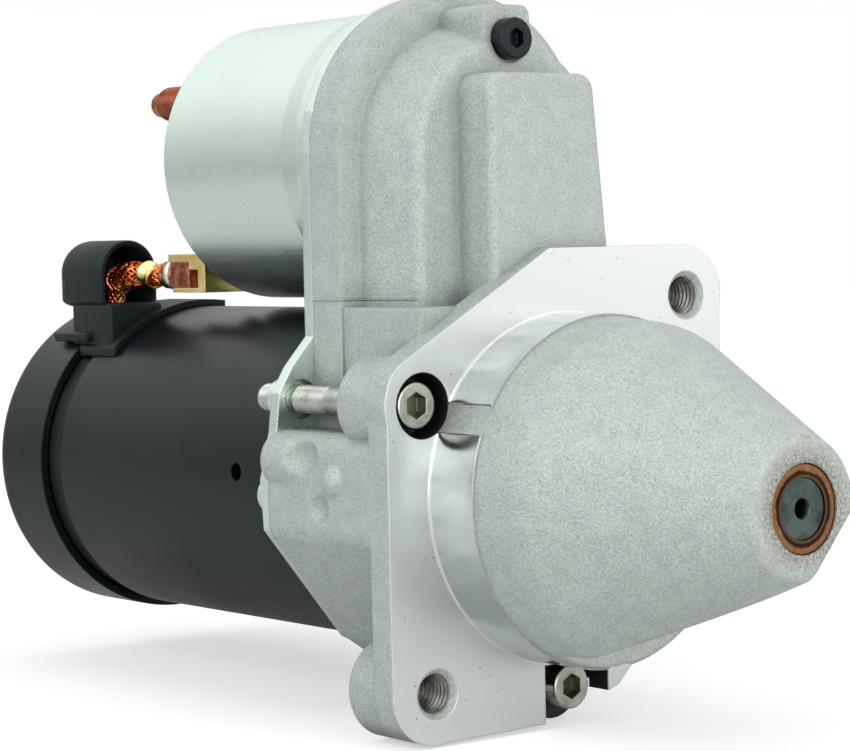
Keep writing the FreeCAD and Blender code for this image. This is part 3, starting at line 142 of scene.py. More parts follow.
class Tree:
    """A node tree and the few moves that the finishes below need."""

    def __init__(self, tree):
        self.tree = tree

    def feed(self, socket, value):
        if isinstance(value, bpy.types.NodeSocket):
            self.tree.links.new(value, socket)
        else:
            socket.default_value = value

    def add(self, kind, inputs=None, **settings):
        node = self.tree.nodes.new(kind)
        for name, value in settings.items():
            setattr(node, name, value)
        for name, value in (inputs or {}).items():
            self.feed(node.inputs[name], value)
        return node

    def calc(self, kind, first, second=0.0, third=0.0):
        """One step of arithmetic."""
        node = self.add("ShaderNodeMath", operation=kind)
        for socket, value in zip(node.inputs, (first, second, third)):
            self.feed(socket, value)
        return node.outputs[0]

    def times(self, first, second):
        return self.calc("MULTIPLY", first, second)

    def either(self, first, second):
        """The larger of two masks."""
        return self.calc("MAXIMUM", first, second)

    def step(self, value, low, high, start=0.0, end=1.0):
        """A soft step from start to end as the value goes from low to high."""
        ends = {"Value": value, "From Min": low, "From Max": high, "To Min": start, "To Max": end}
        return self.add("ShaderNodeMapRange", ends, interpolation_type="SMOOTHSTEP").outputs[0]

    def between(self, value, low, high, soft):
        """A mask from low to high with soft ends outside them."""
        rise = self.step(value, low - soft, low)
        fall = self.step(value, high, high + soft, 1.0, 0.0)
        return self.times(rise, fall)

    def blend(self, factor, first, second):
        node = self.add("ShaderNodeMix", data_type="RGBA")
        self.feed(node.inputs[0], factor)
        self.feed(node.inputs[6], first)
        self.feed(node.inputs[7], second)
        return node.outputs[2]

    def noise(self, place, scale, detail=2.0, rough=0.5, stretch=None):
        if stretch:
            place = self.add("ShaderNodeMapping", {"Vector": place, "Scale": stretch}).outputs[0]
        inputs = {"Vector": place, "Scale": scale, "Detail": detail, "Roughness": rough}
        return self.add("ShaderNodeTexNoise", inputs).outputs[0]

    def place(self):
        return self.add("ShaderNodeTexCoord").outputs["Object"]

    def split(self, vector):
        return self.add("ShaderNodeSeparateXYZ", {"Vector": vector}).outputs

    def from_axis(self, parts, y=0.0, z=0.0):
        """Distance from a line along X through a point of the Y-Z plane."""
        across = self.calc("SUBTRACT", parts[1], y)
        up = self.calc("SUBTRACT", parts[2], z)
        squares = self.calc("ADD", self.times(across, across), self.times(up, up))
        return self.calc("SQRT", squares)


def group(name, ins, outs):
    """A shader node group with named inputs and outputs."""
    made = bpy.data.node_groups.new(name, "ShaderNodeTree")
    for label, kind, default in ins:
        item = made.interface.new_socket(name=label, in_out="INPUT", socket_type="NodeSocket" + kind)
        if default is not None:
            item.default_value = default
    for label, kind in outs:
        made.interface.new_socket(name=label, in_out="OUTPUT", socket_type="NodeSocket" + kind)
    entry = made.nodes.new("NodeGroupInput").outputs
    leave = made.nodes.new("NodeGroupOutput").inputs
    return made, Tree(made), entry, leave


def grain_group():
    """Sand grain of a casting: height, a mottled shade and fine dark pits."""
    made, tree, ins, outs = group("Cast grain", [("Place", "Vector", None), ("Grain", "Float", 1500.0)],
                                  [("Height", "Float"), ("Shade", "Float"), ("Pits", "Float")])
    fine = tree.noise(ins["Place"], ins["Grain"], 3.0, 0.6)
    coarse = tree.noise(ins["Place"], tree.times(ins["Grain"], 0.12), 2.0)
    height = tree.calc("MULTIPLY_ADD", coarse, 0.25, fine)
    speck = tree.noise(ins["Place"], tree.times(ins["Grain"], 0.6), 1.0)
    tree.feed(outs["Height"], height)
    tree.feed(outs["Shade"], tree.step(height, 0.44, 0.82))
    tree.feed(outs["Pits"], tree.step(speck, 0.66, 0.74))
    return made


def edge_group():
    """Where a surface turns sharply: the worn, brighter line along an edge."""
    made, tree, ins, outs = group("Edge wear", [("Radius", "Float", 0.0006)],
                                  [("Edge", "Float"), ("Normal", "Vector")])
    bevel = tree.add("ShaderNodeBevel", {"Radius": ins["Radius"]}, samples=5)
    true = tree.add("ShaderNodeNewGeometry").outputs["Normal"]
    dot = tree.add("ShaderNodeVectorMath", operation="DOT_PRODUCT")
    tree.feed(dot.inputs[0], bevel.outputs[0])
    tree.feed(dot.inputs[1], true)
    tree.feed(outs["Edge"], tree.step(dot.outputs["Value"], 0.995, 0.85))
    tree.feed(outs["Normal"], bevel.outputs[0])
    return made


def streak_group():
    """Faint drawn lines along X, and a slow cloud."""
    made, tree, ins, outs = group("Drawn lines", [("Place", "Vector", None), ("Scale", "Float", 900.0)],
                                  [("Lines", "Float"), ("Cloud", "Float")])
    tree.feed(outs["Lines"], tree.noise(ins["Place"], ins["Scale"], 3.0, 0.6, (0.03, 1.0, 1.0)))
    tree.feed(outs["Cloud"], tree.noise(ins["Place"], 45.0, 3.0, 0.6))
    return made


GRAIN = grain_group()
EDGE = edge_group()
STREAK = streak_group()


def use(tree, made, **values):
    """Places a node group with its own values."""
    node = tree.add("ShaderNodeGroup", node_tree=made)
    for name, value in values.items():
        tree.feed(node.inputs[name], value)
    return node.outputs


def material(name, **constants):
    """A material with its shader: constants go on the shader's own sockets."""
    made = bpy.data.materials.new(name)
    made.use_nodes = True
    tree = Tree(made.node_tree)
    shader = made.node_tree.nodes["Principled BSDF"]
    for label, value in constants.items():
        shader.inputs[label.replace("_", " ")].default_value = value
    return made, tree, shader.inputs


def bump(tree, height, depth, normal=None):
    node = tree.add("ShaderNodeBump", {"Height": height, "Strength": 1.0, "Distance": depth})
    if normal is not None:
        tree.feed(node.inputs["Normal"], normal)
    return node.outputs[0]


def bolt_place(angle):
    """Y and Z of a flange bolt."""
    turn = math.radians(angle)
    return BOLT_CIRCLE * math.cos(turn), BOLT_CIRCLE * math.sin(turn)


def near_bolts(tree, parts, inner, outer):
    """A mask round each flange bolt's axis, full inside the inner radius."""
    found = None
    for angle in BOLT_ANGLES:
        near = tree.step(tree.from_axis(parts, *bolt_place(angle)), inner, outer, 1.0, 0.0)
        found = near if found is None else tree.either(found, near)
    return found


def machined_masks(tree, parts, radius):
    """The flange's front face, and the register band behind the nose."""
    facing = tree.split(tree.add("ShaderNodeNewGeometry").outputs["True Normal"])
    face = tree.times(tree.between(parts[0], -0.1 * MM, 0.1 * MM, 0.05 * MM), tree.step(facing[0], 0.9, 0.98))
    around = tree.between(radius, REGISTER_RADIUS - 0.15 * MM, REGISTER_RADIUS + 0.2 * MM, 0.05 * MM)
    band = tree.times(around, tree.between(parts[0], -0.3 * MM, REGISTER_END, 0.05 * MM))
    return face, band


def recess_seal_and_shade_mask(tree, parts):
    """The bolt recesses and the notch in the flange's lower edge: a black seal coat with painted shade in
    them.
    """
    holes = near_bolts(tree, parts, COUNTERBORE + 0.05 * MM, COUNTERBORE + 0.3 * MM)
    low = tree.step(parts[2], NOTCH_TOP - 0.4 * MM, NOTCH_TOP + 0.6 * MM, 1.0, 0.0)
    notch = tree.times(tree.between(parts[1], *NOTCH_SIDES, 0.2 * MM), low)
    return tree.times(tree.either(holes, notch), tree.between(parts[0], *RECESS_DEPTH, 0.2 * MM))


def cast_tone(tree, place, parts, radius, grain, edge):
    """Rough casting: grain, pits, worn edges, oily dust round the bush and painted shade in its corners."""
    tone = tree.blend(grain["Shade"], CAST_LOW, CAST_HIGH)
    tone = tree.blend(tree.times(grain["Pits"], 0.5), tone, CAST_PIT)
    tone = tree.blend(tree.times(edge, 0.35), tone, CAST_EDGE)
    near_bush = tree.step(radius, 9.3 * MM, 14.5 * MM, 1.0, 0.0)
    near_tip = tree.step(parts[0], NOSE_TIP - 2.5 * MM, NOSE_TIP - 0.5 * MM)
    patches = tree.step(tree.noise(place, 1500.0, 3.0, 0.7), 0.36, 0.60)
    dust = tree.times(tree.times(near_bush, near_tip), patches)
    tone = tree.blend(tree.times(dust, 0.8), tone, OILY_DUST)
    # Painted shade: ambient occlusion darkens the colour in concave corners and grooves
    corner = tree.add("ShaderNodeAmbientOcclusion", {"Distance": 7.0 * MM}, samples=6).outputs["AO"]
    return tree.blend(tree.step(corner, 0.30, 0.88, 0.50, 0.0), tone, PAINTED_CORNER_SHADE)


def machined_tone(tree, place, parts, radius, band, rings):
    """Turned aluminium: fine rings, a few specks, painted reflection streaks on the band and a painted
    highlight line at its root.
    """
    tone = tree.blend(rings, MACHINED_LOW, MACHINED_HIGH)
    specks = tree.step(tree.noise(place, 900.0, 1.0), 0.74, 0.80)
    tone = tree.blend(specks, tone, MACHINED_SPECK)
    # Painted reflection: dark streaks along the axis on the register band
    painted_reflection_streaks = tree.step(tree.noise(place, 70.0, 3.0, 0.6, (0.3, 1.0, 1.0)), 0.35, 0.65, 0.10, 0.75)
    tone = tree.blend(tree.times(band, painted_reflection_streaks), tone, PAINTED_BAND_REFLECTION)
    # Painted highlight: a bright line round the root of the register band
    around = tree.between(radius, REGISTER_RADIUS - 0.2 * MM, REGISTER_RADIUS + 0.35 * MM, 0.15 * MM)
    root = tree.times(around, tree.between(parts[0], -0.2 * MM, 0.5 * MM, 0.2 * MM))
    return tree.blend(tree.times(root, 0.8), tone, PAINTED_ROOT_HIGHLIGHT)


def cast_aluminium():
    """Grainy casting with its machined register and flange face, and bolt recesses black from a seal coat and
    painted shade.
    """
    made, tree, shader = material("Cast aluminium")
    place = tree.place()
    parts = tree.split(place)
    radius = tree.from_axis(parts)
    grain = use(tree, GRAIN, Place=place, Grain=2200.0)
    face, band = machined_masks(tree, parts, radius)
    machined = tree.either(face, band)
    edge = use(tree, EDGE, Radius=tree.step(machined, 0.0, 1.0, 1.4 * MM, 0.35 * MM))
    rings = tree.noise(tree.add("ShaderNodeCombineXYZ", {"X": parts[0], "Y": radius}).outputs[0], 2600.0)
    recess_seal_and_shade = recess_seal_and_shade_mask(tree, parts)
    rough_cast = cast_tone(tree, place, parts, radius, grain, edge["Edge"])
    tone = tree.blend(machined, rough_cast, machined_tone(tree, place, parts, radius, band, rings))
    # Black seal coat and painted shade in the bolt recesses and the notch
    tree.feed(shader["Base Color"], tree.blend(recess_seal_and_shade, tone, RECESS_SEAL_AND_SHADE))
    smooth = tree.calc("MULTIPLY_ADD", band, -0.16, tree.step(rings, 0.2, 0.8, 0.33, 0.38))
    rough = tree.calc("MULTIPLY_ADD", tree.calc("SUBTRACT", smooth, 0.52), machined, 0.52)
    tree.feed(shader["Roughness"], rough)
    bare = tree.calc("SUBTRACT", 1.0, recess_seal_and_shade)
    tree.feed(shader["Metallic"], tree.times(bare, tree.step(machined, 0.0, 1.0, 0.4, 1.0)))
    level = tree.between(parts[2], PARTING_HEIGHT - 0.1 * MM, PARTING_HEIGHT + 0.1 * MM, 0.25 * MM)
    parting_line = tree.times(level, tree.step(parts[0], -18.0 * MM, -16.0 * MM, 1.0, 0.0))
    height = tree.calc("MULTIPLY_ADD", parting_line, 1.3, grain["Height"])
    height = tree.times(height, tree.step(machined, 0.0, 1.0, 1.0, 0.015))
    tree.feed(shader["Normal"], bump(tree, height, 0.29 * MM, edge["Normal"]))
    return made


def zinc(name, low, high, rough_low, rough_high):
    """Zinc plating: cool, faintly green, with the lines of drawing."""
    made, tree, shader = material(name, Metallic=1.0)
    streak = use(tree, STREAK, Place=tree.place(), Scale=1100.0)
    edge = use(tree, EDGE, Radius=0.4 * MM)
    tone = tree.blend(streak["Cloud"], low, high)
    tree.feed(shader["Base Color"], tree.blend(tree.times(edge["Edge"], 0.5), tone, ZINC_EDGE))
    mixed = tree.calc("MULTIPLY_ADD", streak["Lines"], 0.5, tree.times(streak["Cloud"], 0.5))
    tree.feed(shader["Roughness"], tree.step(mixed, 0.3, 0.7, rough_low, rough_high))
    tree.feed(shader["Normal"], bump(tree, streak["Lines"], 0.005 * MM, edge["Normal"]))
    return made


def coated(name, base, worn, rough, depth, grain_scale):
    """Paint, plastic or rubber: fine orange peel, dusty clouds and rubbed edges."""
    made, tree, shader = material(name, Metallic=0.0, Specular_IOR_Level=0.32,
                                  Specular_Tint=colour(0.80, 0.96, 1.0))
    place = tree.place()
    edge = use(tree, EDGE, Radius=0.6 * MM)
    fine = tree.noise(place, grain_scale)
    cloud = tree.noise(place, 38.0, 4.0, 0.6)
    tone = tree.blend(tree.step(cloud, 0.35, 0.75), base, worn)
    tree.feed(shader["Base Color"], tree.blend(tree.times(edge["Edge"], 0.3), tone, worn))
    tree.feed(shader["Roughness"], tree.step(cloud, 0.3, 0.7, rough - 0.05, rough + 0.06))
    tree.feed(shader["Normal"], bump(tree, fine, depth, edge["Normal"]))
    return made


def socket_painted_shade(tree, place):
    """Where the sockets of the flange bolts are: painted shade darkening their inside."""
    # Painted shade: the inside of each socket is darkened in its colour
    parts = tree.split(place)
    inside = near_bolts(tree, parts, SOCKET_RADIUS, SOCKET_RADIUS + 0.15 * MM)
    return tree.times(inside, tree.between(parts[0], *SOCKET_DEPTH, 0.15 * MM))


def centre_darkening(tree, place):
    """Darker colour in the centre hole in the end of the output shaft."""
    parts = tree.split(place)
    inside = tree.step(tree.from_axis(parts), 1.7 * MM, 2.1 * MM, 1.0, 0.0)
    return tree.times(inside, tree.step(parts[0], NOSE_TIP - 6.0 * MM, NOSE_TIP - 5.0 * MM))


def metal(name, low, high, rough, scale=160.0, depth=0.03 * MM, edge_radius=0.4 * MM, darkening=None,
          darkening_tone=SOCKET_PAINTED_SHADE):
    """A bare metal with clouded tone, fine scratches, bright edges and a darker tone where a mask says."""
    made, tree, shader = material(name, Metallic=1.0)
    place = tree.place()
    edge = use(tree, EDGE, Radius=edge_radius)
    cloud = tree.noise(place, scale, 4.0, 0.6)
    fine = tree.noise(place, 2400.0)
    tone = tree.blend(tree.step(cloud, 0.3, 0.7), low, high)
    tone = tree.blend(tree.times(edge["Edge"], 0.4), tone, high)
    # Darker where a mask says: painted shade in the bolt sockets, a darker centre hole in the shaft end
    if darkening:
        tone = tree.blend(tree.times(darkening(tree, place), 0.85), tone, darkening_tone)
    tree.feed(shader["Base Color"], tone)
    tree.feed(shader["Roughness"], tree.step(cloud, 0.25, 0.75, rough - 0.06, rough + 0.08))
    tree.feed(shader["Normal"], bump(tree, fine, depth, edge["Normal"]))
    return made


def oiled_bronze():
    """Bush metal: golden brown rings with black oil between them."""
    made, tree, shader = material("Oiled bronze", Metallic=1.0)
    place = tree.place()
    radius = tree.from_axis(tree.split(place))
    wavy = tree.calc("ADD", radius, tree.times(tree.noise(place, 260.0, 3.0, 0.6), 1.6 * MM))
    gold = tree.times(tree.step(wavy, 8.2 * MM, 8.7 * MM), tree.step(radius, 8.7 * MM, 8.95 * MM, 1.0, 0.0))
    rim = tree.step(radius, 6.7 * MM, 6.9 * MM, 1.0, 0.0)
    oil = tree.blend(tree.noise(place, 700.0, 3.0), OIL_LOW, OIL_HIGH)
    bronze = tree.blend(tree.noise(place, 900.0, 3.0), BRONZE_LOW, BRONZE_HIGH)
    tone = tree.blend(gold, oil, bronze)
    tree.feed(shader["Base Color"], tree.blend(tree.times(rim, 0.35), tone, BRONZE_RIM))
    tree.feed(shader["Roughness"], tree.step(gold, 0.0, 1.0, 0.30, 0.42))
    tree.feed(shader["Normal"], bump(tree, tree.noise(place, 1500.0), 0.06 * MM))
    return made


FINISHES = {
    "cast_aluminium": cast_aluminium(),
    "zinc_plate": zinc("Zinc plate", colour(0.70, 0.84, 0.75), colour(0.80, 0.93, 0.85), 0.25, 0.33),
    "bright_steel": metal("Bright steel", colour(0.44, 0.47, 0.40), colour(0.66, 0.69, 0.61), 0.26,
                          darkening=socket_painted_shade),
    "dark_steel": metal("Dark steel", colour(0.045, 0.060, 0.060), colour(0.115, 0.145, 0.145), 0.34,
                        darkening=centre_darkening, darkening_tone=CENTRE_DARK),
    "black_paint": coated("Black paint", colour(0.003, 0.006, 0.0075), colour(0.006, 0.011, 0.013), 0.32,
                          0.03 * MM, 900.0),
    "black_rubber": coated("Black rubber", colour(0.006, 0.009, 0.010), colour(0.014, 0.019, 0.020), 0.48,
                           0.05 * MM, 1400.0),
    "black_plastic": coated("Black plastic", colour(0.014, 0.014, 0.016), colour(0.030, 0.030, 0.032), 0.45,
                            0.03 * MM, 1200.0),
    "copper": metal("Copper", colour(0.22, 0.055, 0.032), colour(0.66, 0.26, 0.16), 0.32, 420.0),
    "brass": metal("Brass", colour(0.86, 0.62, 0.19), colour(1.0, 0.86, 0.42), 0.28),
    "bronze": oiled_bronze(),
    "iron": metal("Laminated iron", colour(0.12, 0.12, 0.12), colour(0.22, 0.22, 0.22), 0.45),
    "carbon": coated("Carbon", colour(0.02, 0.02, 0.02), colour(0.05, 0.05, 0.05), 0.6, 0.05 * MM, 2000.0),
    "paper": coated("Gasket sheet", colour(0.02, 0.022, 0.024), colour(0.05, 0.05, 0.05), 0.75, 0.08 * MM,
                    1800.0),
}

# Thin forms get a small edge radius, which keeps their crests
FINE_EDGE = 0.04 * MM
THREADED_STEEL = metal("Threaded steel", colour(0.42, 0.43, 0.40), colour(0.66, 0.67, 0.64), 0.28,
                       edge_radius=FINE_EDGE)
THREADED_COPPER = metal("Threaded copper", colour(0.15, 0.034, 0.022), colour(0.34, 0.10, 0.062), 0.32,
                        edge_radius=FINE_EDGE)
THREADED_CAST = metal("Threaded aluminium", colour(0.13, 0.12, 0.10), colour(0.50, 0.49, 0.46), 0.30,
                      edge_radius=FINE_EDGE)
BARE_WIRE = metal("Bare wire", colour(0.78, 0.16, 0.04), colour(1.0, 0.42, 0.15), 0.26, edge_radius=FINE_EDGE)


def dress_nodes():
    """Gives every CAD node the finish of its slot in the record."""
    for part in frame["record"]["subparts"]:
        mesh = NODES[part["node"]].data
        mesh.materials.clear()
        mesh.materials.append(FINISHES[part["material_slot"]])


# How the pieces are made


def only(part):
    """Selects one object and nothing else."""
    bpy.ops.object.select_all(action="DESELECT")
    part.select_set(True)
    bpy.context.view_layer.objects.active = part


def turned(name, start, radius, y, z, steps, filled=True, sides=32):
    """A turned form along X: a disc extruded from ring to ring, each step a length and a radius."""
    bpy.ops.object.select_all(action="DESELECT")
    bpy.ops.mesh.primitive_circle_add(vertices=sides, radius=radius, location=(start, y, z),
                                      fill_type="NGON" if filled else "NOTHING",
                                      rotation=(0.0, math.pi / 2, 0.0))
    part = bpy.context.object
    part.name = name
    bpy.ops.object.mode_set(mode="EDIT")
    bpy.ops.mesh.select_all(action="SELECT")
    at, now = start, radius
    for length, size in steps:
        move = {"value": (length, 0.0, 0.0)}
        if filled:
            bpy.ops.mesh.extrude_region_move(TRANSFORM_OT_translate=move)
        else:
            bpy.ops.mesh.extrude_edges_move(TRANSFORM_OT_translate=move)
        at += length
        grow = size / now
        bpy.ops.transform.resize(value=(1.0, grow, grow), center_override=(at, y, z))
        now = size
    bpy.ops.mesh.select_all(action="SELECT")
    bpy.ops.mesh.normals_make_consistent(inside=False)
    bpy.ops.object.mode_set(mode="OBJECT")
    return part


def wall(part, thickness):
    """Gives an open turned form its thickness, out from its drawn face."""
    shell = part.modifiers.new("Wall", "SOLIDIFY")
    shell.thickness = thickness
    shell.offset = 1.0


def soften(part, width, segments):
    """Rounds a piece's edges."""
    soft = part.modifiers.new("Edges", "BEVEL")
    soft.width = width
    soft.segments = segments


def settle(part, body, slot, *nodes, angle=30.0, finish=None):
    """Applies what is live on a piece, finishes it and hangs it on its body."""
    only(part)
    bpy.ops.object.transform_apply(location=True, rotation=True, scale=True)
    for modifier in list(part.modifiers):
        bpy.ops.object.modifier_apply(modifier=modifier.name)
    bpy.ops.object.shade_smooth_by_angle(angle=math.radians(angle))
    part.data.materials.clear()
    part.data.materials.append(finish or FINISHES[slot])
    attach(part, body)
    if nodes:
        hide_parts(*nodes)


def bevelled_box(name, low, high, width):
    """A block with rounded edges between two corners."""
    middle = [(a + b) / 2 for a, b in zip(low, high)]
    bpy.ops.object.select_all(action="DESELECT")
    bpy.ops.mesh.primitive_cube_add(size=1.0, location=middle)
    part = bpy.context.object
    part.name = name
    part.scale = [b - a for a, b in zip(low, high)]
    bpy.ops.object.transform_apply(location=True, rotation=True, scale=True)
    soften(part, width, 4)
    return part


def combine_rod(part, operation, start, end, radius):
    """Cuts a round rod on the motor's axis out of a piece, or keeps only what lies in it."""
    bpy.ops.mesh.primitive_cylinder_add(vertices=96, radius=radius, depth=end - start,
                                        location=((start + end) / 2, 0.0, 0.0),
                                        rotation=(0.0, math.pi / 2, 0.0))
    tool = bpy.context.object
    only(part)
    cut = part.modifiers.new("Rod", "BOOLEAN")
    cut.operation = operation
    cut.object = tool
    for modifier in list(part.modifiers):
        bpy.ops.object.modifier_apply(modifier=modifier.name)
    bpy.data.objects.remove(tool)


# Threads, drawn where the CAD has plain rods and holes


def thread_steps(length, pitch, root, crest):
    """Rings of a screw thread: up to the crest and down to the root again."""
    steps = []
    for _ in range(int(round(length / pitch))):
        steps += [(pitch * 0.35, crest), (pitch * 0.15, crest), (pitch * 0.35, root), (pitch * 0.15, root)]
    return steps


def outside_thread(name, start, length, radius, pitch, y, z, slot, finish):
    """A thread round a rod of the CAD model, a little proud of it, with a tapered start."""
    root, crest, taper = radius + 0.02 * MM, radius + THREAD_RISE, 0.3 * MM
    steps = [(taper, root)] + thread_steps(length, pitch, root, crest) + [(taper, root - taper)]
    part = turned(name, start, root - taper, y, z, steps)
    settle(part, "housing", slot, angle=20.0, finish=finish)


def inside_thread(name, y, z):
    """The thread of a mounting hole, seen in its mouth."""
    root, crest, pitch = 4.23 * MM, 3.83 * MM, 1.2 * MM
    part = turned(name, -16.2 * MM, root, y, z, thread_steps(12 * pitch, pitch, root, crest), filled=False,
                  sides=48)
    wall(part, 0.15 * MM)
    settle(part, "housing", "cast_aluminium", angle=20.0, finish=THREADED_CAST)


def threads():
    y, z = bolt_place(BOLT_ANGLES[0])
    outside_thread("bolt_thread", -42.7 * MM, 11.0 * MM, 3.0 * MM, 0.8 * MM, y, z, "bright_steel",
                   THREADED_STEEL)
    outside_thread("bolt_end_thread", -55.3 * MM, 4.8 * MM, 3.0 * MM, 0.8 * MM, y, z, "bright_steel",
                   THREADED_STEEL)
    outside_thread("stud_thread", -125.2 * MM, 13.0 * MM, 4.0 * MM, 1.0 * MM, *STUD_PLACE, "copper",
                   THREADED_COPPER)
    inside_thread("lower_hole_thread", -MOUNT_PLACE[0], -MOUNT_PLACE[1])
    inside_thread("upper_hole_thread", MOUNT_PLACE[0], MOUNT_PLACE[1])


# The lead: its braid, crimp and pressed end


def lead_route():
    """Points along the lead, read from one smooth spline through its few corners."""
    corner = LEAD_TIP - LEAD_AHEAD * (LEAD_STRAIGHT + LEAD_BEND)
    foot = corner - Vector((0.0, 0.0, LEAD_BEND + LEAD_DROP))
    spots = [LEAD_TIP + LEAD_AHEAD * 1.5 * MM, LEAD_TIP - LEAD_AHEAD * 7.0 * MM,
             LEAD_TIP - LEAD_AHEAD * LEAD_STRAIGHT, corner, corner - Vector((0.0, 0.0, LEAD_BEND)), foot]
    line = bpy.data.curves.new("Lead route", "CURVE")
    line.dimensions = "3D"
    spline = line.splines.new("NURBS")
    spline.points.add(len(spots) - 1)
    for point, spot in zip(spline.points, spots):
        point.co = (*spot, 1.0)
    spline.order_u = 3
    spline.use_endpoint_u = True
    spline.resolution_u = 10
    holder = bpy.data.objects.new("Lead route", line)
    flat = bpy.data.meshes.new_from_object(holder)
    points = [vertex.co.copy() for vertex in flat.vertices]
    bpy.data.meshes.remove(flat)
    bpy.data.objects.remove(holder)
    return points


def lead_spread(place):
    """Radius of the braid: gathered in the crimp, flared in front of the hood."""
    flare = math.sin(math.pi * min(max((place - 0.36) / 0.40, 0.0), 1.0))
    waist = max(0.0, 1.0 - abs(place - 0.30) / 0.10)
    return (2.4 + 0.95 * flare - 0.7 * waist) * MM


def strand_spot(route, at, carrier):
    """A point of one strand, wound round the route with its weave and its frayed wander."""
    last = len(route) - 1
    place = at / last
    wind = 1.0 if carrier % 2 else -1.0
    tangent = (route[min(at + 1, last)] - route[max(at - 1, 0)]).normalized()
    angle = 2 * math.pi * carrier / BRAID_CARRIERS + wind * place * 2 * math.pi * BRAID_TURNS
    weave = 0.28 * MM * math.sin(13 * angle + wind * math.pi / 2)
    loose = 1.0 if 0.3 < place < 0.7 else 0.2
    fray = 0.35 * MM * math.sin(5.3 * carrier + 21.0 * place) * loose
    around = LEAD_SIDE * math.cos(angle) + LEAD_SIDE.cross(tangent) * math.sin(angle)
    return route[at] + around * (lead_spread(place) + weave + fray)


def braid():
    """Bare copper braid: two families of strands wound against each other round the route."""
    route = lead_route()
    last = len(route) - 1
    strands = bpy.data.curves.new("lead_braid", "CURVE")
    strands.dimensions = "3D"
    strands.bevel_depth = STRAND_RADIUS
    strands.bevel_resolution = 1
    for carrier in range(BRAID_CARRIERS):
        spline = strands.splines.new("NURBS")
        count = last // 2 + 1
        spline.points.add(count - 1)
        for i, point in enumerate(spline.points):
            point.co = (*strand_spot(route, min(i * 2, last), carrier), 1.0)
        spline.order_u = 3
        spline.use_endpoint_u = True
        spline.resolution_u = 3
    part = bpy.data.objects.new("lead_braid", strands)
    bpy.context.scene.collection.objects.link(part)
    only(part)
    bpy.ops.object.convert(target="MESH")
    settle(bpy.context.object, "housing", "copper", "motor_lead", angle=60.0, finish=BARE_WIRE)


def crimp():
    """The flattened brass band that holds the strands, a little askew."""
    back = LEAD_TIP - LEAD_AHEAD * 12.6 * MM
    length = 4.4 * MM
    steps = [(0.25 * length, radius * MM) for radius in (2.75, 2.55, 2.55, 2.8)]
    part = turned("lead_crimp", back.x, 2.95 * MM, back.y, back.z, steps, filled=False, sides=32)
    bpy.ops.object.mode_set(mode="EDIT")
    bpy.ops.mesh.select_all(action="SELECT")
    middle = (back.x + length / 2, back.y + 0.5 * MM, back.z)
    bpy.ops.transform.resize(value=(1.0, 1.12, 0.88), center_override=middle)
    bpy.ops.transform.rotate(value=math.radians(-20.0), orient_axis="Y", center_override=middle)
    bpy.ops.transform.rotate(value=-LEAD_YAW, orient_axis="Z", center_override=middle)
    bpy.ops.object.mode_set(mode="OBJECT")
    wall(part, 0.55 * MM)
    soften(part, 0.15 * MM, 2)
    settle(part, "housing", "brass", "lead_band")


def pressed_end():
    """Strands pressed together between the crimp and the end block, with a pale tie round them."""
    back = LEAD_TIP - LEAD_AHEAD * 6.6 * MM
    steps = [(1.0 * MM, 3.0 * MM), (1.6 * MM, 3.5 * MM), (1.2 * MM, 3.1 * MM), (1.8 * MM, 3.3 * MM),
             (1.2 * MM, 2.9 * MM)]
    part = turned("pressed_strands", back.x, 2.3 * MM, back.y + 0.4 * MM, back.z, steps, sides=24)
    soft = part.modifiers.new("Soft", "SUBSURF")
    soft.levels = soft.render_levels = 2
    pattern = bpy.data.textures.new("Strand lumps", "CLOUDS")
    pattern.noise_scale = 1.4 * MM
    lumps = part.modifiers.new("Lumps", "DISPLACE")
    lumps.texture = pattern
    lumps.texture_coords = "LOCAL"
    lumps.strength = 0.9 * MM
    settle(part, "housing", "copper", angle=60.0)
    tie = LEAD_TIP - LEAD_AHEAD * 2.6 * MM
    steps = [(0.5 * MM, 3.75 * MM), (1.0 * MM, 3.75 * MM), (0.4 * MM, 3.4 * MM)]
    settle(turned("pale_tie", tie.x, 3.4 * MM, tie.y, tie.z, steps), "housing", "zinc_plate")


# The rubber hood and what it sits on


def hood_shell():
    """The rubber hood: a domed rear, an open mouth and straight flanks."""
    y, z = HOOD_PLACE
    outer, inner, lip = 8.3 * MM, 6.9 * MM, 0.25 * MM
    length = HOOD_MOUTH - HOOD_REAR
    steps = [(0.5 * MM, 6.3 * MM), (1.1 * MM, 7.5 * MM), (1.6 * MM, 8.1 * MM), (1.8 * MM, outer),
             (length - 5.5 * MM, outer), (0.5 * MM, outer - lip), (0.0, inner + lip), (-0.5 * MM, inner),
             (5.0 * MM - length, inner), (-1.0 * MM, 4.0 * MM)]
    part = turned("hood_shell", HOOD_REAR, 4.6 * MM, y, z, steps, sides=64)
    bpy.ops.object.mode_set(mode="EDIT")
    bpy.ops.mesh.select_all(action="DESELECT")
    bpy.ops.object.mode_set(mode="OBJECT")
    for vertex in part.data.vertices:
        vertex.select = (part.matrix_world @ vertex.co).z < z - 0.2 * MM
    bpy.ops.object.mode_set(mode="EDIT")
    bpy.ops.transform.resize(value=(1.0, 1.0, 0.3), center_override=(0.0, y, z))
    bpy.ops.transform.translate(value=(0.0, 0.0, -6.6 * MM))
    bpy.ops.object.mode_set(mode="OBJECT")
    settle(part, "housing", "black_rubber", "lead_hood", angle=40.0)


def hood_grommet():
    """The block under the hood, saddled on the cover and the yoke."""
    y, z = HOOD_PLACE
    part = bevelled_box("hood_grommet", (-159.5 * MM, y - 7.6 * MM, 26.0 * MM),
                        (-141.5 * MM, y + 8.6 * MM, z - 7.4 * MM), 1.2 * MM)
    combine_rod(part, "DIFFERENCE", -180.0 * MM, -154.7 * MM, COVER_SKIN)
    combine_rod(part, "DIFFERENCE", -155.0 * MM, -130.0 * MM, YOKE_SKIN)
    settle(part, "housing", "black_rubber")


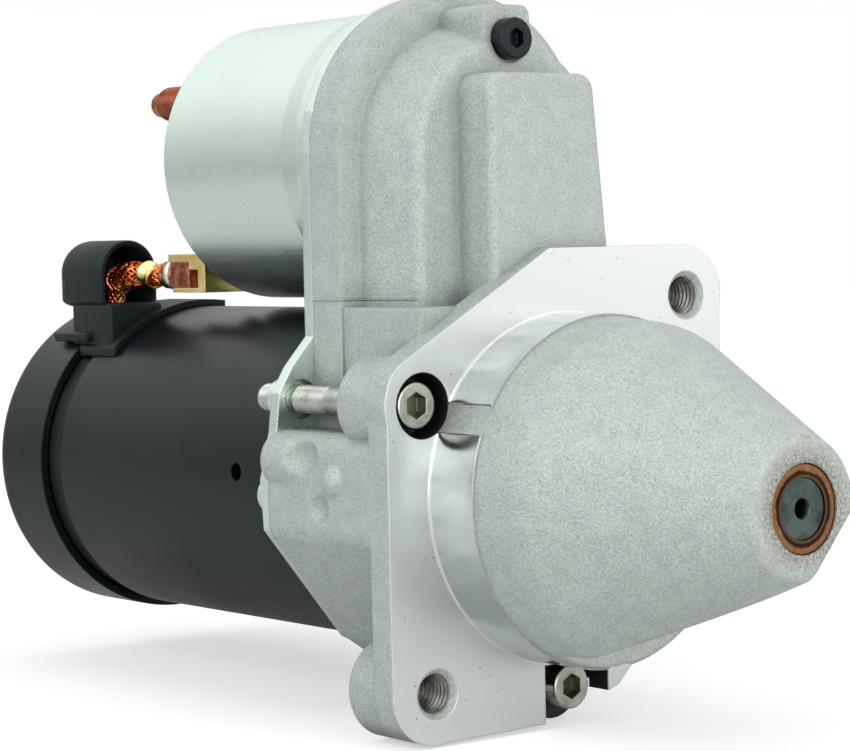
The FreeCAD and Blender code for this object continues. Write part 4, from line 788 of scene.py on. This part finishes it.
def hood_flap():
    """The tongue over the ring groove, beside the hood."""
    part = bevelled_box("hood_flap", (-165.8 * MM, -29.2 * MM, 31.6 * MM),
                        (-150.0 * MM, -19.0 * MM, 34.0 * MM), 0.6 * MM)
    only(part)
    bpy.ops.object.mode_set(mode="EDIT")
    bpy.ops.mesh.select_all(action="SELECT")
    bpy.ops.transform.rotate(value=math.radians(-20.0), orient_axis="X",
                             center_override=(-158.0 * MM, -24.0 * MM, 33.0 * MM))
    bpy.ops.object.mode_set(mode="OBJECT")
    combine_rod(part, "DIFFERENCE", -180.0 * MM, -130.0 * MM, COVER_SKIN - 0.1 * MM)
    settle(part, "housing", "black_rubber")


def hood_strap():
    """The thin strap that lies over the yoke in front of the hood."""
    part = bevelled_box("hood_strap", (-154.6 * MM, -28.0 * MM, 24.0 * MM),
                        (-138.0 * MM, 6.0 * MM, 44.0 * MM), 0.4 * MM)
    combine_rod(part, "DIFFERENCE", -180.0 * MM, -130.0 * MM, YOKE_SKIN)
    combine_rod(part, "INTERSECT", -175.0 * MM, -115.0 * MM, YOKE_SKIN + 1.6 * MM)
    settle(part, "housing", "black_rubber")


# Camera, light and floor


def make_camera():
    turn, rise, roll = (math.radians(angle) for angle in (AZIMUTH, ELEVATION, ROLL))
    back = Vector((math.sin(turn) * math.cos(rise), -math.cos(turn) * math.cos(rise), math.sin(rise)))
    right = Vector((math.cos(turn), math.sin(turn), 0.0))
    up = back.cross(right)
    level_right = right * math.cos(roll) + up * math.sin(roll)
    level_up = up * math.cos(roll) - right * math.sin(roll)
    lens = bpy.data.cameras.new("Camera")
    lens.sensor_width = 36.0
    lens.lens = FOCAL_PIXELS / IMAGE_SIZE[0] * lens.sensor_width
    lens.shift_x = 0.5 - CENTRE_PIXEL[0] / IMAGE_SIZE[0]
    lens.shift_y = (CENTRE_PIXEL[1] - IMAGE_SIZE[1] / 2) / IMAGE_SIZE[0]
    camera = bpy.data.objects.new("Camera", lens)
    rows = Matrix((level_right, level_up, back)).transposed().to_4x4()
    camera.matrix_world = Matrix.Translation(CAMERA_PLACE) @ rows
    bpy.context.scene.collection.objects.link(camera)
    bpy.context.scene.camera = camera


def soft_light(name, place, size, power, tint):
    """An area lamp that looks at the middle of the motor."""
    lamp = bpy.data.lights.new(name, "AREA")
    lamp.shape = "RECTANGLE"
    lamp.size, lamp.size_y = size
    lamp.energy = power
    lamp.color = tint
    made = bpy.data.objects.new(name, lamp)
    made.location = place
    made.rotation_mode = "QUATERNION"
    made.rotation_quaternion = (LAMP_TARGET - Vector(place)).to_track_quat("-Z", "Y")
    bpy.context.scene.collection.objects.link(made)


def pale_world():
    """White to the camera, a soft gradient with a darker horizon to reflections, low as a light."""
    world = bpy.data.worlds.new("Studio")
    bpy.context.scene.world = world
    world.use_nodes = True
    tree = Tree(world.node_tree)
    sky = world.node_tree.nodes["Background"]
    path = tree.add("ShaderNodeLightPath").outputs
    height = tree.split(tree.add("ShaderNodeTexCoord").outputs["Generated"])[2]
    above = tree.step(height, 0.02, 0.60, 0.55, 1.05)
    below = tree.step(height, -0.45, -0.02, 0.60, 0.0)
    reflected = tree.calc("SUBTRACT", tree.calc("ADD", above, below), AMBIENT)
    strength = tree.calc("MULTIPLY_ADD", path["Is Glossy Ray"], reflected, AMBIENT)
    seen = tree.either(path["Is Camera Ray"], path["Is Transmission Ray"])
    tree.feed(sky.inputs["Strength"], tree.either(strength, seen))
    sky.inputs["Color"].default_value = WHITE


def pale_floor():
    """Keeps the motor's faint shadow near it and fades into the white world far away."""
    lowest = min(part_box(name)[0].z for name in NODES)
    bpy.ops.object.select_all(action="DESELECT")
    bpy.ops.mesh.primitive_plane_add(size=6.0, location=(0.0, 0.0, lowest - 0.2 * MM))
    floor = bpy.context.object
    floor.name = "floor"
    made, tree, shader = material("Pale floor", Roughness=0.9)
    path = tree.add("ShaderNodeLightPath").outputs
    away = tree.add("ShaderNodeVectorMath", operation="LENGTH")
    tree.feed(away.inputs[0], tree.place())
    glow = tree.step(away.outputs["Value"], 0.25, 1.1, 0.48, 0.85)
    tree.feed(shader["Emission Strength"], tree.times(path["Is Camera Ray"], glow))
    shader["Emission Color"].default_value = WHITE
    shader["Base Color"].default_value = FLOOR_PALE
    floor.data.materials.append(made)


dress_nodes()
threads()
hood_shell()
hood_grommet()
hood_flap()
hood_strap()
braid()
crimp()
pressed_end()

bpy.context.scene.view_settings.view_transform = "Standard"
make_camera()
pale_world()
pale_floor()
for lamp in LAMPS:
    soft_light(*lamp)
